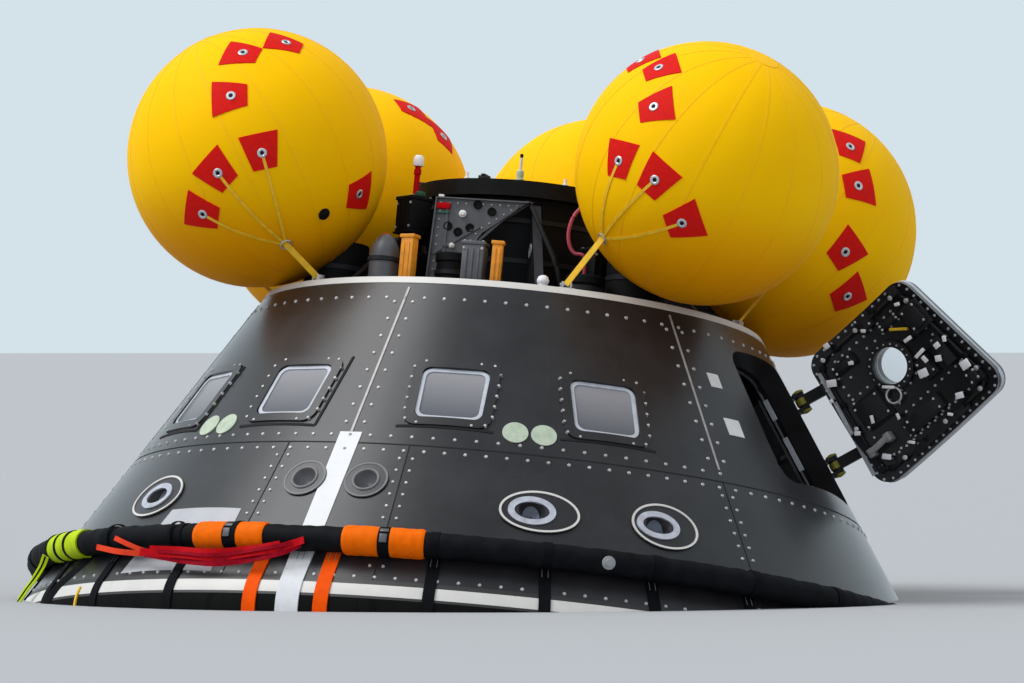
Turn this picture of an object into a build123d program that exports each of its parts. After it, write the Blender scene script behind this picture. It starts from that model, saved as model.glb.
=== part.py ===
from build123d import *
import os
from math import cos, radians, sin, sqrt, tan

os.makedirs("parts", exist_ok=True)

# A crew capsule afloat after its landing, in millimetres. Heights are measured up from its widest circle.
# A bearing is an angle round the capsule: 0 is the window side, -Y, and 90 is the side hatch, +X.
# The finished pieces are lowered so that the origin lies on the axis at the waterline.

# Hull shape
widest_radius = 2514.5
shoulder_radius = 251.5
shield_radius = 6035
shield_thickness = 90
shield_rim_width = 214.5
cone_angle = 32.5
waterline_height = 400
wall = 110

# Heights of the rings and seams
band_low = 50
band_high = 150
belt_height = 925
rim_low = 1850
rim_high = 1912
rim_width = 143
bay_deck_thickness = 60
bay_width = 680

# Cabin windows
window_bearings = (-40.8, -14.8, 14.8, 40.8)
window_rise = 310
window_width = 358
window_tall = 344
window_corner = 45
window_frame_border = 52
window_frame_proud = 10
pane_depth = 12
pane_thickness = 20

# Side hatch
hatch_bearing = 90
hatch_sill = 115
hatch_headroom = 105
hatch_half_angle = 14.7
hatch_corner = 110
hatch_gap = 12
hatch_open_angle = 82
coaming_border = 55
coaming_thickness = 40
hatch_window_radius = 100
hatch_window_rise = 80
hatch_window_border = 35
hatch_pane_thickness = 25

# Side hatch hinge
hinge_bearing = 110.5
hinge_lift = 42
hinge_eye_radius = 30
hinge_pin_radius = 12
hinge_arm_width = 60
hinge_arm_clearance = 16
hinge_arm_thickness = 38
hinge_arm_reach = 350
hinge_pad_start = 205
hinge_lug_thickness = 20
hinge_lug_foot = 85
hinge_lug_root = 126
hinge_side_gap = 1
hinge_arm_rises = (210, 540)
running_clearance = 0.05

# Docking tunnel, ring and hatch
tunnel_wall = 100
tunnel_drop = 150
ring_low = 2500
ring_high = 2587
ring_border = 70
ring_bolt_count = 12
ring_bolt_radius = 9
lid_gap = 12
lid_thickness = 60
lid_rise = 10
lid_arm_width = 60
lid_arm_thickness = 24
lid_arm_lap = 190
lid_axis_setback = 55
lid_eye_radius = 16
lid_pin_radius = 8
lid_lug_thickness = 15
lid_handle_radius = 14
lid_handle_span = 260
lid_handle_drop = 70

# Forward bay
gusset_bearings = (30, 90, 150, 210, 270, 330)
gusset_thickness = 25
gusset_gap = 50
gusset_tip_rise = 50
gusset_hole_radius = 25
gusset_hole_reach = 120
gusset_hole_rise = 350

# Flotation bags
bag_overhang = 300
bag_share = 0.4667
bag_clearance = 3
seat_clearance = 0.3
canister_radius = 170
canister_inset = 190
canister_height = 350

# Flotation collar round the cone
collar_radius = 70
collar_height = 355
sleeve_thickness = 8
sleeve_span = 10
sleeve_bearings = (-10.4, 10.4)
strap_thickness = 5
strap_low = 90
strap_tuck = 30
strap_width = 45
wide_strap_width = 80
wide_strap_bearing = 5
strap_first = 17
strap_count = 25

# Thruster openings
port_proud = 8
port_depth = 70
nozzle_depth = 50
cap_radius = 68
cap_proud = 6
cap_depth = 60
cap_rise = 115
cap_bearings = (-30.3, -25.8, 25.8, 30.3, 149.7, 154.2, 205.8, 210.3)

# Separation pads under the heat shield
pad_count = 6
pad_radius = 140
pad_orbit = 1800
pad_bolt_radius = 30

# Cabin fittings
floor_low = 250
floor_thickness = 40
seat_width = 480
seat_pan_thickness = 70
seat_back_length = 800
seat_back_height = 620
seat_thigh_rise = 350
seat_calf_length = 300
seat_pedestal = 160
seat_spacing = 620
seat_rows = (-300, 640)
console_width = 900
console_thickness = 70
console_tallness = 330
console_clearance = 35
console_distance = 640
console_post = 80

# Sizes of the cutting tools
sector_half = 30
cut_depth = 400
inner_depth = 330

slope = radians(cone_angle)
foot_radius = widest_radius - shoulder_radius + shoulder_radius * cos(slope)
foot_height = shoulder_radius * sin(slope)
shoulder_centre = widest_radius - shoulder_radius
shield_rim_inner = widest_radius - shield_rim_width
sphere_height = sqrt((shield_radius - shoulder_radius) ** 2 - shoulder_centre**2)
bay_floor = rim_low - bay_deck_thickness
wall_run = wall / cos(slope)
window_height = belt_height + window_rise
hatch_low = belt_height + hatch_sill
hatch_high = rim_low - hatch_headroom
cap_height = belt_height + cap_rise


def skin_radius(height):
    """Outside radius of the cone at a height."""
    return foot_radius - (height - foot_height) * tan(slope)


rim_inner = skin_radius(rim_high) - rim_width
tunnel_outer = rim_inner - bay_width
tunnel_inner = tunnel_outer - tunnel_wall
tunnel_low = rim_low - tunnel_drop
ring_outer = tunnel_outer + ring_border
ring_bolt_circle = tunnel_outer + ring_border / 2
gusset_top = ring_low - gusset_gap
gusset_reach = rim_inner - gusset_gap
gusset_tip_height = rim_low + gusset_tip_rise
bag_orbit = rim_inner + bag_overhang
bag_radius = bag_orbit * bag_share
bag_height = rim_high + bag_clearance + bag_radius
canister_orbit = rim_inner - canister_inset


def band_radius(height):
    """Outside radius of the rounded shoulder at a height."""
    return shoulder_centre + sqrt(shoulder_radius**2 - height**2)


def place(bearing, distance, height):
    """A point given by its bearing, its distance from the axis and its height."""
    angle = radians(bearing)
    return Vector(distance * sin(angle), -distance * cos(angle), height)


def on_cone(bearing, height, lift=0):
    """A plane on the cone: x runs level towards larger bearings, y up the slope, z outwards."""
    angle = radians(bearing)
    outward = Vector(sin(angle) * cos(slope), -cos(angle) * cos(slope), sin(slope))
    across = Vector(cos(angle), sin(angle), 0)
    origin = place(bearing, skin_radius(height), height) + outward * lift
    return Plane(origin=origin, x_dir=across, z_dir=outward)


def upright(bearing, distance):
    """A vertical plane facing a bearing: x runs level, y is height, z points away from the axis."""
    angle = radians(bearing)
    across = Vector(cos(angle), sin(angle), 0)
    outward = Vector(sin(angle), -cos(angle), 0)
    return Plane(origin=place(bearing, distance, 0), x_dir=across, z_dir=outward)


def turned(corners, start=0, span=360):
    """A solid turned round the axis from (distance, height) corners, from one bearing over a span."""
    face = make_face(Plane.XZ * Polyline(*corners, close=True))
    return Rot(0, 0, start - 90) * revolve(face, Axis.Z, revolution_arc=span)


def cone_layer(low, high, inner, outer, start=0, span=360):
    """A layer of the cone between two heights, from inner to outer, measured outwards from the skin."""
    shift_in = inner / cos(slope)
    shift_out = outer / cos(slope)
    corners = [
        (skin_radius(low) + shift_in, low),
        (skin_radius(low) + shift_out, low),
        (skin_radius(high) + shift_out, high),
        (skin_radius(high) + shift_in, high),
    ]
    return turned(corners, start, span)


def cone_patch(low, high, inner, outer, bearing):
    """The part of such a layer that lies to both sides of a bearing."""
    return cone_layer(low, high, inner, outer, bearing - sector_half, 2 * sector_half)


def through(plane, outline, depth=cut_depth):
    """A straight cut of that outline through the wall at a plane, both ways."""
    return extrude(plane * outline, amount=depth, both=True)


def rounded(corners, radius):
    """A flat outline with all of its corners rounded."""
    face = make_face(Polyline(*corners, close=True))
    return fillet(face.vertices(), radius)


def bar(start, end, radius):
    """A round bar between two points."""
    along = end - start
    plane = Plane(origin=start, z_dir=along)
    return extrude(plane * Circle(radius), amount=along.length)


def joined(pieces):
    """Several solids as one shape."""
    whole = pieces[0]
    for piece in pieces[1:]:
        whole += piece
    return whole


nodes = {}


# Heat shield: a shallow dish whose rounded edge carries the white band
def shield_point(distance, radius):
    """A point of the dish at a distance from the axis."""
    return (distance, sphere_height - sqrt(radius**2 - distance**2))


def shoulder_point(height):
    """A point of the rounded edge at a height."""
    return (band_radius(height), height)


tangent_share = shoulder_centre / (shield_radius - shoulder_radius)
tangent_distance = shield_radius * tangent_share
shield_inner_radius = shield_radius - shield_thickness
edge_middle = (shoulder_centre + shoulder_radius, 0)
shield_outline = (
    ThreePointArc(
        shield_point(0, shield_radius),
        shield_point(tangent_distance / 2, shield_radius),
        shield_point(tangent_distance, shield_radius),
    )
    + ThreePointArc(
        shield_point(tangent_distance, shield_radius),
        edge_middle,
        shoulder_point(band_low),
    )
    + Polyline(
        shoulder_point(band_low),
        (shield_rim_inner, band_low),
        shield_point(shield_rim_inner, shield_inner_radius),
    )
    + ThreePointArc(
        shield_point(shield_rim_inner, shield_inner_radius),
        shield_point(shield_rim_inner / 2, shield_inner_radius),
        shield_point(0, shield_inner_radius),
    )
    + Line(shield_point(0, shield_inner_radius), shield_point(0, shield_radius))
)
shield = revolve(make_face(Plane.XZ * shield_outline), Axis.Z)
pads = []
for index in range(pad_count):
    spot = place(index * 360 / pad_count, pad_orbit, -widest_radius / 2)
    well = Pos(*spot) * Cylinder(pad_radius, widest_radius)
    bolt = Pos(*spot) * Cylinder(pad_bolt_radius, widest_radius)
    pads.append((shield & well) - bolt)
    shield -= well
nodes["heat_shield"] = shield
nodes["separation_pads"] = pads

# White band at the foot of the cone
band_outline = (
    ThreePointArc(
        shoulder_point(band_low),
        shoulder_point((band_low + foot_height) / 2),
        shoulder_point(foot_height),
    )
    + Polyline(
        shoulder_point(foot_height),
        (skin_radius(band_high), band_high),
        (shield_rim_inner, band_high),
        (shield_rim_inner, band_low),
        shoulder_point(band_low),
    )
)
nodes["foot_band"] = revolve(make_face(Plane.XZ * band_outline), Axis.Z)

# Thruster openings: bearing, drop below the belt, width, tallness, nozzle radius, nozzle shift
port_table = (
    (-30.8, 305, 400, 285, 75, 0),
    (-4.3, 215, 240, 240, 68, 0),
    (5.1, 215, 240, 240, 68, 0),
    (29.8, 323, 425, 275, 75, -40),
    (47.6, 318, 380, 295, 75, -40),
    (175.3, 215, 240, 240, 68, 0),
    (184.7, 215, 240, 240, 68, 0),
)


def port_outline(width, tallness, trim=0):
    """The outline of an opening: an oval of four arcs, or a circle where both sizes are the same."""
    if width == tallness:
        return Circle(width / 2 - trim)
    half_wide = width / 2
    half_tall = tallness / 2
    diagonal = sqrt(half_wide**2 + half_tall**2)
    end_radius = (diagonal**2 - (half_wide - half_tall) * diagonal) / width
    side_radius = (diagonal**2 + (half_wide - half_tall) * diagonal) / tallness
    end_reach = half_wide - end_radius
    side_reach = side_radius - half_tall
    join_share = (end_radius - trim) / (side_radius - end_radius)
    join_x = end_reach + end_reach * join_share
    join_y = side_reach * join_share
    return make_face(
        ThreePointArc((join_x, join_y), (half_wide - trim, 0), (join_x, -join_y))
        + ThreePointArc((join_x, -join_y), (0, trim - half_tall), (-join_x, -join_y))
        + ThreePointArc((-join_x, -join_y), (trim - half_wide, 0), (-join_x, join_y))
        + ThreePointArc((-join_x, join_y), (0, half_tall - trim), (join_x, join_y))
    )


ports = []
for bearing, drop, width, tallness, nozzle, shift in port_table:
    height = belt_height - drop
    plane = on_cone(bearing, height)
    outline = port_outline(width, tallness, seat_clearance)
    layer = cone_patch(height - tallness, height + tallness, -port_depth, port_proud, bearing)
    plug = layer & through(plane, outline)
    bell = plane.offset(-nozzle_depth) * Pos(shift, 0) * Circle(nozzle / 2)
    mouth = plane.offset(port_proud * 2) * Pos(shift, 0) * Circle(nozzle)
    ports.append(plug - loft([bell, mouth]))
nodes["thruster_ports"] = ports

# Lower panels: name, first bearing, last bearing
lower_table = (
    ("lower_panel_front", -10, 10),
    ("lower_panel_front_right", 10, 60),
    ("lower_panel_hatch_side", 60, 120),
    ("lower_panel_rear_right", 120, 180),
    ("lower_panel_rear_left", 180, 240),
    ("lower_panel_left", 240, 300),
    ("lower_panel_front_left", 300, 350),
)
for name, first, last in lower_table:
    panel = cone_layer(band_high, belt_height, -wall, 0, first, last - first)
    for bearing, drop, width, tallness, nozzle, shift in port_table:
        if first < bearing % 360 < last or first < bearing < last:
            port_plane = on_cone(bearing, belt_height - drop)
            panel -= through(port_plane, port_outline(width, tallness))
    nodes[name] = panel

# Side hatch outline and hinge line
hatch_middle = (hatch_low + hatch_high) / 2
hatch_plane = on_cone(hatch_bearing, hatch_middle)
hatch_rise = (hatch_high - hatch_low) / 2 / cos(slope)
half_top = skin_radius(hatch_high) * sin(radians(hatch_half_angle))
half_bottom = skin_radius(hatch_low) * sin(radians(hatch_half_angle))
hinge_plane = on_cone(hinge_bearing, hatch_middle, hinge_lift)
hinge_axis = Axis(hinge_plane.origin, hinge_plane.y_dir)


def hatch_outline(grow):
    """The hatch's outline, larger by grow on every side."""
    corners = [
        (-half_bottom - grow, -hatch_rise - grow),
        (half_bottom + grow, -hatch_rise - grow),
        (half_top + grow, hatch_rise + grow),
        (-half_top - grow, hatch_rise + grow),
    ]
    return rounded(corners, hatch_corner + grow)


# Upper panels: name, first bearing, last bearing
upper_table = (
    ("upper_panel_front_left", -60, 0),
    ("upper_panel_front_right", 0, 60),
    ("upper_panel_hatch_side", 60, 120),
    ("upper_panel_rear_right", 120, 180),
    ("upper_panel_rear_left", 180, 240),
    ("upper_panel_left", 240, 300),
)
window_outline = RectangleRounded(window_width, window_tall, window_corner)
for name, first, last in upper_table:
    panel = cone_layer(belt_height, rim_low, -wall, 0, first, last - first)
    for bearing in window_bearings:
        if first < bearing < last:
            panel -= through(on_cone(bearing, window_height), window_outline)
    for bearing in cap_bearings:
        if first < bearing < last or first < bearing - 360 < last:
            panel -= through(on_cone(bearing, cap_height), Circle(cap_radius))
    if first < hatch_bearing < last:
        panel -= through(hatch_plane, hatch_outline(0))
    nodes[name] = panel

# Window frames and panes
frames = []
panes = []
frame_outline = RectangleRounded(
    window_width + 2 * window_frame_border,
    window_tall + 2 * window_frame_border,
    window_corner + window_frame_border / 2,
)
for bearing in window_bearings:
    plane = on_cone(bearing, window_height)
    plate = cone_patch(belt_height, rim_low, 0, window_frame_proud, bearing)
    frames.append((plate & through(plane, frame_outline)) - through(plane, window_outline))
    inner_face = plane.offset(-pane_depth - pane_thickness)
    panes.append(extrude(inner_face * window_outline, amount=pane_thickness))
nodes["window_frames"] = frames
nodes["window_panes"] = panes

# Round covers over the small paired thrusters
caps = []
for bearing in cap_bearings:
    disc = through(on_cone(bearing, cap_height), Circle(cap_radius - seat_clearance))
    layer = cone_patch(belt_height, rim_low, -cap_depth, cap_proud, bearing)
    caps.append(disc & layer)
nodes["thruster_covers"] = caps

# Side hatch: the panel, its round window, and the frame that it closes into
hatch_layer = cone_patch(belt_height + hatch_gap, rim_low, -wall, 0, hatch_bearing)
window_spot = Pos(0, hatch_window_rise)
hatch_window_hole = through(hatch_plane, window_spot * Circle(hatch_window_radius))
hatch_panel = (hatch_layer & through(hatch_plane, hatch_outline(-hatch_gap))) - hatch_window_hole
behind_wall = cone_patch(belt_height, rim_low, -inner_depth, -wall, hatch_bearing)
coaming_layer = cone_patch(
    belt_height - coaming_border, rim_low, -wall - coaming_thickness, -wall, hatch_bearing
)
coaming = (coaming_layer & through(hatch_plane, hatch_outline(coaming_border))) - through(
    hatch_plane, hatch_outline(0)
)
nodes["hatch_coaming"] = coaming
pane_face = hatch_plane.offset(-wall / 2 - hatch_pane_thickness)
hatch_pane = extrude(
    pane_face * (window_spot * Circle(hatch_window_radius)), amount=hatch_pane_thickness
)
rim_sketch = window_spot * (
    Circle(hatch_window_radius + hatch_window_border) - Circle(hatch_window_radius)
)
hatch_rim = behind_wall & extrude(
    hatch_plane.offset(-wall - hatch_window_border) * rim_sketch, amount=wall
)

# Fittings on the inner face of the hatch: across, up, width, tallness, depth
fitting_table = (
    (-300, 180, 120, 160, 70),
    (-150, 262, 150, 40, 30),
    (-38, 350, 90, 90, 50),
    (-283, 363, 50, 50, 65),
    (236, -36, 190, 180, 25),
    (-354, -276, 80, 80, 75),
    (-160, -60, 90, 120, 45),
    (20, -240, 260, 90, 40),
    (-300, -60, 60, 160, 65),
    (200, 250, 150, 60, 45),
    (0, -360, 420, 40, 35),
    (390, -200, 35, 260, 85),
)
fittings = []
for across, up, width, tallness, depth in fitting_table:
    block = extrude(
        hatch_plane.offset(-wall - depth) * (Pos(across, up) * Rectangle(width, tallness)),
        amount=cut_depth,
    )
    fittings.append(behind_wall & block)
hatch_arms = []
brackets = []
for arm_rise in hinge_arm_rises:
    arm_shift = (hatch_low + arm_rise - hatch_middle) / cos(slope)
    strip = Pos(-hinge_arm_reach / 2, arm_shift) * Rectangle(hinge_arm_reach, hinge_arm_width)
    arm_back = hinge_arm_clearance + hinge_arm_thickness
    arm_layer = cone_patch(hatch_low, rim_low, hinge_arm_clearance, arm_back, hinge_bearing)
    arm = arm_layer & through(hinge_plane, strip)
    pad_length = hinge_arm_reach - hinge_pad_start
    pad_strip = Pos(-hinge_pad_start - pad_length / 2, arm_shift) * Rectangle(
        pad_length, hinge_arm_width
    )
    pad_layer = cone_patch(hatch_low, rim_low, 0, hinge_arm_clearance, hinge_bearing)
    arm += pad_layer & through(hinge_plane, pad_strip)
    middle = hinge_plane.origin + hinge_plane.y_dir * arm_shift
    half = hinge_plane.y_dir * (hinge_arm_width / 2)
    arm += bar(middle - half, middle + half, hinge_eye_radius)
    arm -= bar(middle - half * 2, middle + half * 2, hinge_pin_radius + running_clearance)
    hatch_arms.append(arm)
    lug_offset = hinge_arm_width / 2 + hinge_side_gap
    lug_span = lug_offset + hinge_lug_thickness
    bracket = []
    for side in (-1, 1):
        lug_start = middle + hinge_plane.y_dir * (side * lug_offset)
        lug_face = Plane(
            origin=lug_start, x_dir=hinge_plane.x_dir, z_dir=hinge_plane.y_dir * side
        )
        foot_corners = [
            (-hinge_eye_radius, 0),
            (hinge_eye_radius, 0),
            (hinge_lug_foot, side * hinge_lift),
            (hinge_lug_foot, side * hinge_lug_root),
            (-hinge_eye_radius, side * hinge_lug_root),
        ]
        profile = Circle(hinge_eye_radius) + make_face(Polyline(*foot_corners, close=True))
        lug = extrude(lug_face * profile, amount=hinge_lug_thickness)
        bracket.append(lug)
    pin_half = hinge_plane.y_dir * lug_span
    bracket.append(bar(middle - pin_half, middle + pin_half, hinge_pin_radius))
    brackets.append(joined(bracket) - cone_patch(belt_height, rim_low, -inner_depth, 0, hinge_bearing))
nodes["hatch_hinge_brackets"] = brackets


def swung(piece):
    """A piece of the hatch, turned from closed to where it stands open."""
    return piece.rotate(hinge_axis, hatch_open_angle)


nodes["hatch_panel"] = swung(hatch_panel)
nodes["hatch_window_pane"] = swung(hatch_pane)
nodes["hatch_window_rim"] = swung(hatch_rim)
nodes["hatch_latch_gear"] = [swung(piece) for piece in fittings]
nodes["hatch_hinge_arms"] = [swung(piece) for piece in hatch_arms]

# Top ring of the cone, the deck of the forward bay, the docking tunnel and its ring
nodes["rim_ring"] = turned(
    [
        (rim_inner, rim_low),
        (skin_radius(rim_low), rim_low),
        (skin_radius(rim_high), rim_high),
        (rim_inner, rim_high),
    ]
)
nodes["bay_deck"] = turned(
    [
        (tunnel_outer, bay_floor),
        (skin_radius(bay_floor) - wall_run, bay_floor),
        (skin_radius(rim_low) - wall_run, rim_low),
        (tunnel_outer, rim_low),
    ]
)
nodes["docking_tunnel"] = turned(
    [
        (tunnel_inner, tunnel_low),
        (tunnel_outer, tunnel_low),
        (tunnel_outer, ring_low),
        (tunnel_inner, ring_low),
    ]
)
ring = turned(
    [
        (tunnel_inner, ring_low),
        (ring_outer, ring_low),
        (ring_outer, ring_high),
        (tunnel_inner, ring_high),
    ]
)
for index in range(ring_bolt_count):
    spot = place((index + 0.5) * 360 / ring_bolt_count, ring_bolt_circle, ring_low)
    ring -= Pos(*spot) * Cylinder(ring_bolt_radius, (ring_high - ring_low) * 3)

# Docking hatch: a round lid in the tunnel's mouth, hinged at the back of the ring
lid_top = ring_high + lid_rise
lid_axis_height = lid_top + lid_arm_thickness / 2
lid_radius = tunnel_inner - lid_gap
lid = Pos(0, 0, lid_top - lid_thickness / 2) * Cylinder(lid_radius, lid_thickness)
lid_axis_distance = tunnel_inner + lid_axis_setback
lid_arm_length = lid_arm_lap + lid_axis_setback
lid_arm = Pos(0, lid_axis_distance - lid_arm_length / 2, lid_axis_height) * Box(
    lid_arm_width, lid_arm_length, lid_arm_thickness
)
lid_eye_start = Vector(-lid_arm_width / 2, lid_axis_distance, lid_axis_height)
lid_eye_end = Vector(lid_arm_width / 2, lid_axis_distance, lid_axis_height)
lid_arm += bar(lid_eye_start, lid_eye_end, lid_eye_radius)
lid_bore = bar(lid_eye_start, lid_eye_end, lid_pin_radius + running_clearance)
lug_inner = lid_arm_width / 2 + hinge_side_gap
lug_outer = lug_inner + lid_lug_thickness
lug_profile = Circle(lid_eye_radius) + Pos(0, -(lid_axis_height - ring_high) / 2) * Rectangle(
    lid_eye_radius * 2, lid_axis_height - ring_high
)
for side in (-1, 1):
    lug_face = Plane(
        origin=(side * (lug_inner + lid_lug_thickness / 2), lid_axis_distance, lid_axis_height),
        x_dir=(0, 1, 0),
        z_dir=(1, 0, 0),
    )
    ring += extrude(lug_face * lug_profile, amount=lid_lug_thickness / 2, both=True)
ring += bar(
    Vector(-lug_outer, lid_axis_distance, lid_axis_height),
    Vector(lug_outer, lid_axis_distance, lid_axis_height),
    lid_pin_radius,
)
nodes["docking_ring"] = ring
nodes["docking_lid"] = lid + lid_arm - lid_bore
handle_low = lid_top - lid_thickness - lid_handle_drop
handle_ends = [Vector(side * lid_handle_span / 2, 0, handle_low) for side in (-1, 1)]
handle_tops = [point + Vector(0, 0, lid_handle_drop) for point in handle_ends]
handle_overlap = Vector(lid_handle_radius, 0, 0)
nodes["docking_lid_handle"] = joined(
    [
        bar(handle_ends[0], handle_tops[0], lid_handle_radius),
        bar(handle_ends[1], handle_tops[1], lid_handle_radius),
        bar(handle_ends[0] - handle_overlap, handle_ends[1] + handle_overlap, lid_handle_radius),
    ]
)

# Radial gussets of the forward bay, each with a hoisting eye
gussets = []
for bearing in gusset_bearings:
    angle = radians(bearing)
    face = Plane(
        origin=(0, 0, 0),
        x_dir=(sin(angle), -cos(angle), 0),
        z_dir=(-cos(angle), -sin(angle), 0),
    )
    outline = make_face(
        Polyline(
            (tunnel_outer, rim_low),
            (tunnel_outer, gusset_top),
            (ring_outer, gusset_top),
            (gusset_reach, gusset_tip_height),
            (gusset_reach, rim_low),
            close=True,
        )
    )
    hole_spot = Pos(tunnel_outer + gusset_hole_reach, rim_low + gusset_hole_rise)
    outline -= hole_spot * Circle(gusset_hole_radius)
    plate = extrude(face * outline, amount=gusset_thickness / 2, both=True)
    gussets.append(plate - Pos(0, 0, rim_high) * Cylinder(tunnel_outer, ring_high))
nodes["bay_gussets"] = gussets

# Flotation bags: name, bearing
bag_table = (
    ("bag_right_front", 63),
    ("bag_right_rear", 129),
    ("bag_rear", 186.5),
    ("bag_left_rear", 245),
    ("bag_left_front", 308),
)
canisters = []
for name, bearing in bag_table:
    ball = Pos(*place(bearing, bag_orbit, bag_height)) * Sphere(bag_radius)
    hollow = Pos(*place(bearing, bag_orbit, bag_height)) * Sphere(bag_radius + seat_clearance)
    spot = place(bearing, canister_orbit, rim_low + canister_height / 2)
    canisters.append(Pos(*spot) * Cylinder(canister_radius, canister_height) - hollow)
    nodes[name] = ball
nodes["bag_canisters"] = canisters

# Grey bracket plate in front of the tunnel, which carries small instruments: across, height above the deck
bracket_bearing = 14
bracket_setoff = 100
bracket_thickness = 25
bracket_table = ((-390, 0), (-197, 0), (-197, 273), (-98, 424), (160, 610), (-368, 610))
bracket_outline = make_face(
    Polyline(*[(across, rim_low + rise) for across, rise in bracket_table], close=True)
)
nodes["bay_bracket"] = extrude(
    upright(bracket_bearing, tunnel_outer + bracket_setoff) * bracket_outline,
    amount=bracket_thickness,
)

# Boxes standing on the deck of the bay: bearing, inset from the rim, width, depth, height
box_table = (
    (-9, 120, 90, 70, 340),
    (17.7, 120, 70, 60, 320),
    (11, 140, 130, 120, 310),
    (60, 460, 200, 150, 400),
    (120, 460, 200, 150, 350),
    (180, 460, 200, 150, 350),
    (240, 460, 200, 150, 350),
    (300, 460, 200, 150, 350),
)
boxes = []
for bearing, inset, width, depth, tallness in box_table:
    side_view = Pos(0, rim_low + tallness / 2) * Rectangle(width, tallness)
    boxes.append(extrude(upright(bearing, rim_inner - inset - depth / 2) * side_view, amount=depth))

# Mortars: bearing, inset from the rim, radius, height
mortar_table = ((-18, 130, 92, 346), (45, 200, 110, 190), (0, 340, 100, 270))
mortars = []
for bearing, inset, radius, tallness in mortar_table:
    spot = place(bearing, rim_inner - inset, rim_low + tallness / 2)
    mortars.append(Pos(*spot) * Cylinder(radius, tallness))
nodes["bay_mortars"] = mortars

# Lamp on its box over a gusset, and the whip antenna on the docking ring
lamp_bearing = -30
lamp_setoff = 207
lamp_box_width = 150
lamp_box_tall = 207
lamp_box_rise = 20
lamp_stem_radius = 16
lamp_stem_length = 170
lamp_dome_radius = 30
lamp_dome_tall = 60
lamp_distance = tunnel_outer + lamp_setoff
lamp_box_high = gusset_top + lamp_box_rise
lamp_box_view = Pos(0, lamp_box_high - lamp_box_tall / 2) * Rectangle(lamp_box_width, lamp_box_tall)
lamp_box = extrude(
    upright(lamp_bearing, lamp_distance - lamp_box_width / 2) * lamp_box_view, amount=lamp_box_width
)
boxes.append(lamp_box - joined(gussets))
nodes["bay_boxes"] = boxes
lamp_foot = place(lamp_bearing, lamp_distance, lamp_box_high)
lamp_stem_top = lamp_foot + Vector(0, 0, lamp_stem_length)
lamp_dome_top = lamp_stem_top + Vector(0, 0, lamp_dome_tall)
nodes["beacon_lamp"] = bar(lamp_foot, lamp_stem_top, lamp_stem_radius) + bar(
    lamp_stem_top, lamp_dome_top, lamp_dome_radius
)
antenna_bearing = 20
antenna_base_radius = 24
antenna_base_length = 63
antenna_rod_radius = 9
antenna_rod_length = 85
antenna_foot = place(antenna_bearing, ring_bolt_circle, ring_high)
antenna_base = antenna_foot + Vector(0, 0, antenna_base_length)
antenna_tip = antenna_base + Vector(0, 0, antenna_rod_length)
nodes["whip_antenna"] = bar(antenna_foot, antenna_base, antenna_base_radius) + bar(
    antenna_base, antenna_tip, antenna_rod_radius
)

# Collar: a tube round the cone, its sleeves and its straps
collar_contact = collar_height - (collar_radius + seat_clearance) * sin(slope)
collar_orbit = skin_radius(collar_contact) + (collar_radius + seat_clearance) * cos(slope)
nodes["collar_tube"] = Pos(0, 0, collar_height) * Torus(collar_orbit, collar_radius)
sleeve_ring = Circle(collar_radius + sleeve_thickness) - Circle(collar_radius + seat_clearance)
sleeves = []
for bearing in sleeve_bearings:
    section = Plane.XZ * (Pos(collar_orbit, collar_height) * sleeve_ring)
    sleeve = revolve(section, Axis.Z, revolution_arc=sleeve_span)
    sleeve = Rot(0, 0, bearing - sleeve_span / 2 - 90) * sleeve
    inside = cone_patch(band_high, belt_height, -wall, seat_clearance, bearing)
    sleeves.append(sleeve - inside)
nodes["collar_sleeves"] = sleeves
strap_high = collar_contact - strap_tuck
last_strap = 360 - strap_first
strap_step = (last_strap - strap_first) / (strap_count - 1)
strap_table = [(strap_first + index * strap_step, strap_width) for index in range(strap_count)]
straps = []
for bearing, width in strap_table + [
    (-wide_strap_bearing, wide_strap_width),
    (wide_strap_bearing, wide_strap_width),
]:
    strap_back = seat_clearance + strap_thickness
    layer = cone_patch(strap_low, strap_high, seat_clearance, strap_back, bearing)
    middle_plane = on_cone(bearing, (strap_low + strap_high) / 2)
    straps.append(layer & through(middle_plane, Rectangle(width, strap_high), wall))
nodes["collar_straps"] = straps

# Cabin floor, seats and the display console under the bay deck
floor_high = floor_low + floor_thickness
nodes["cabin_floor"] = turned(
    [
        (0, floor_low),
        (skin_radius(floor_low) - wall_run, floor_low),
        (skin_radius(floor_high) - wall_run, floor_high),
        (0, floor_high),
    ]
)
seats = []
back_low = floor_high + seat_back_height - seat_pan_thickness
back_high = floor_high + seat_back_height
thigh_top = back_high + seat_thigh_rise
for row in seat_rows:
    head_end = row + seat_back_length / 2
    knee_end = row - seat_back_length / 2
    calf_end = knee_end - seat_calf_length
    profile = [
        (head_end, back_low),
        (head_end, back_high),
        (knee_end + seat_pan_thickness, back_high),
        (knee_end + seat_pan_thickness, thigh_top),
        (calf_end, thigh_top),
        (calf_end, thigh_top - seat_pan_thickness),
        (knee_end, thigh_top - seat_pan_thickness),
        (knee_end, back_low),
        (row - seat_pedestal / 2, back_low),
        (row - seat_pedestal / 2, floor_high),
        (row + seat_pedestal / 2, floor_high),
        (row + seat_pedestal / 2, back_low),
    ]
    side_face = make_face(Plane.YZ * Polyline(*profile, close=True))
    seat = extrude(side_face, amount=seat_width / 2, both=True)
    for column in (-0.5, 0.5):
        seats.append(Pos(column * seat_spacing, 0, 0) * seat)
nodes["crew_seats"] = seats
console_low = thigh_top + console_clearance
console_high = console_low + console_tallness
post_length = bay_floor - console_high
console_face = Pos(0, -console_distance, (console_low + console_high) / 2) * Box(
    console_width, console_thickness, console_tallness
)
console_posts = [
    Pos(side * console_width / 3, -console_distance, bay_floor - post_length / 2)
    * Box(console_post, console_thickness, post_length)
    for side in (-1, 1)
]
nodes["display_console"] = joined([console_face, *console_posts])

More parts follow.
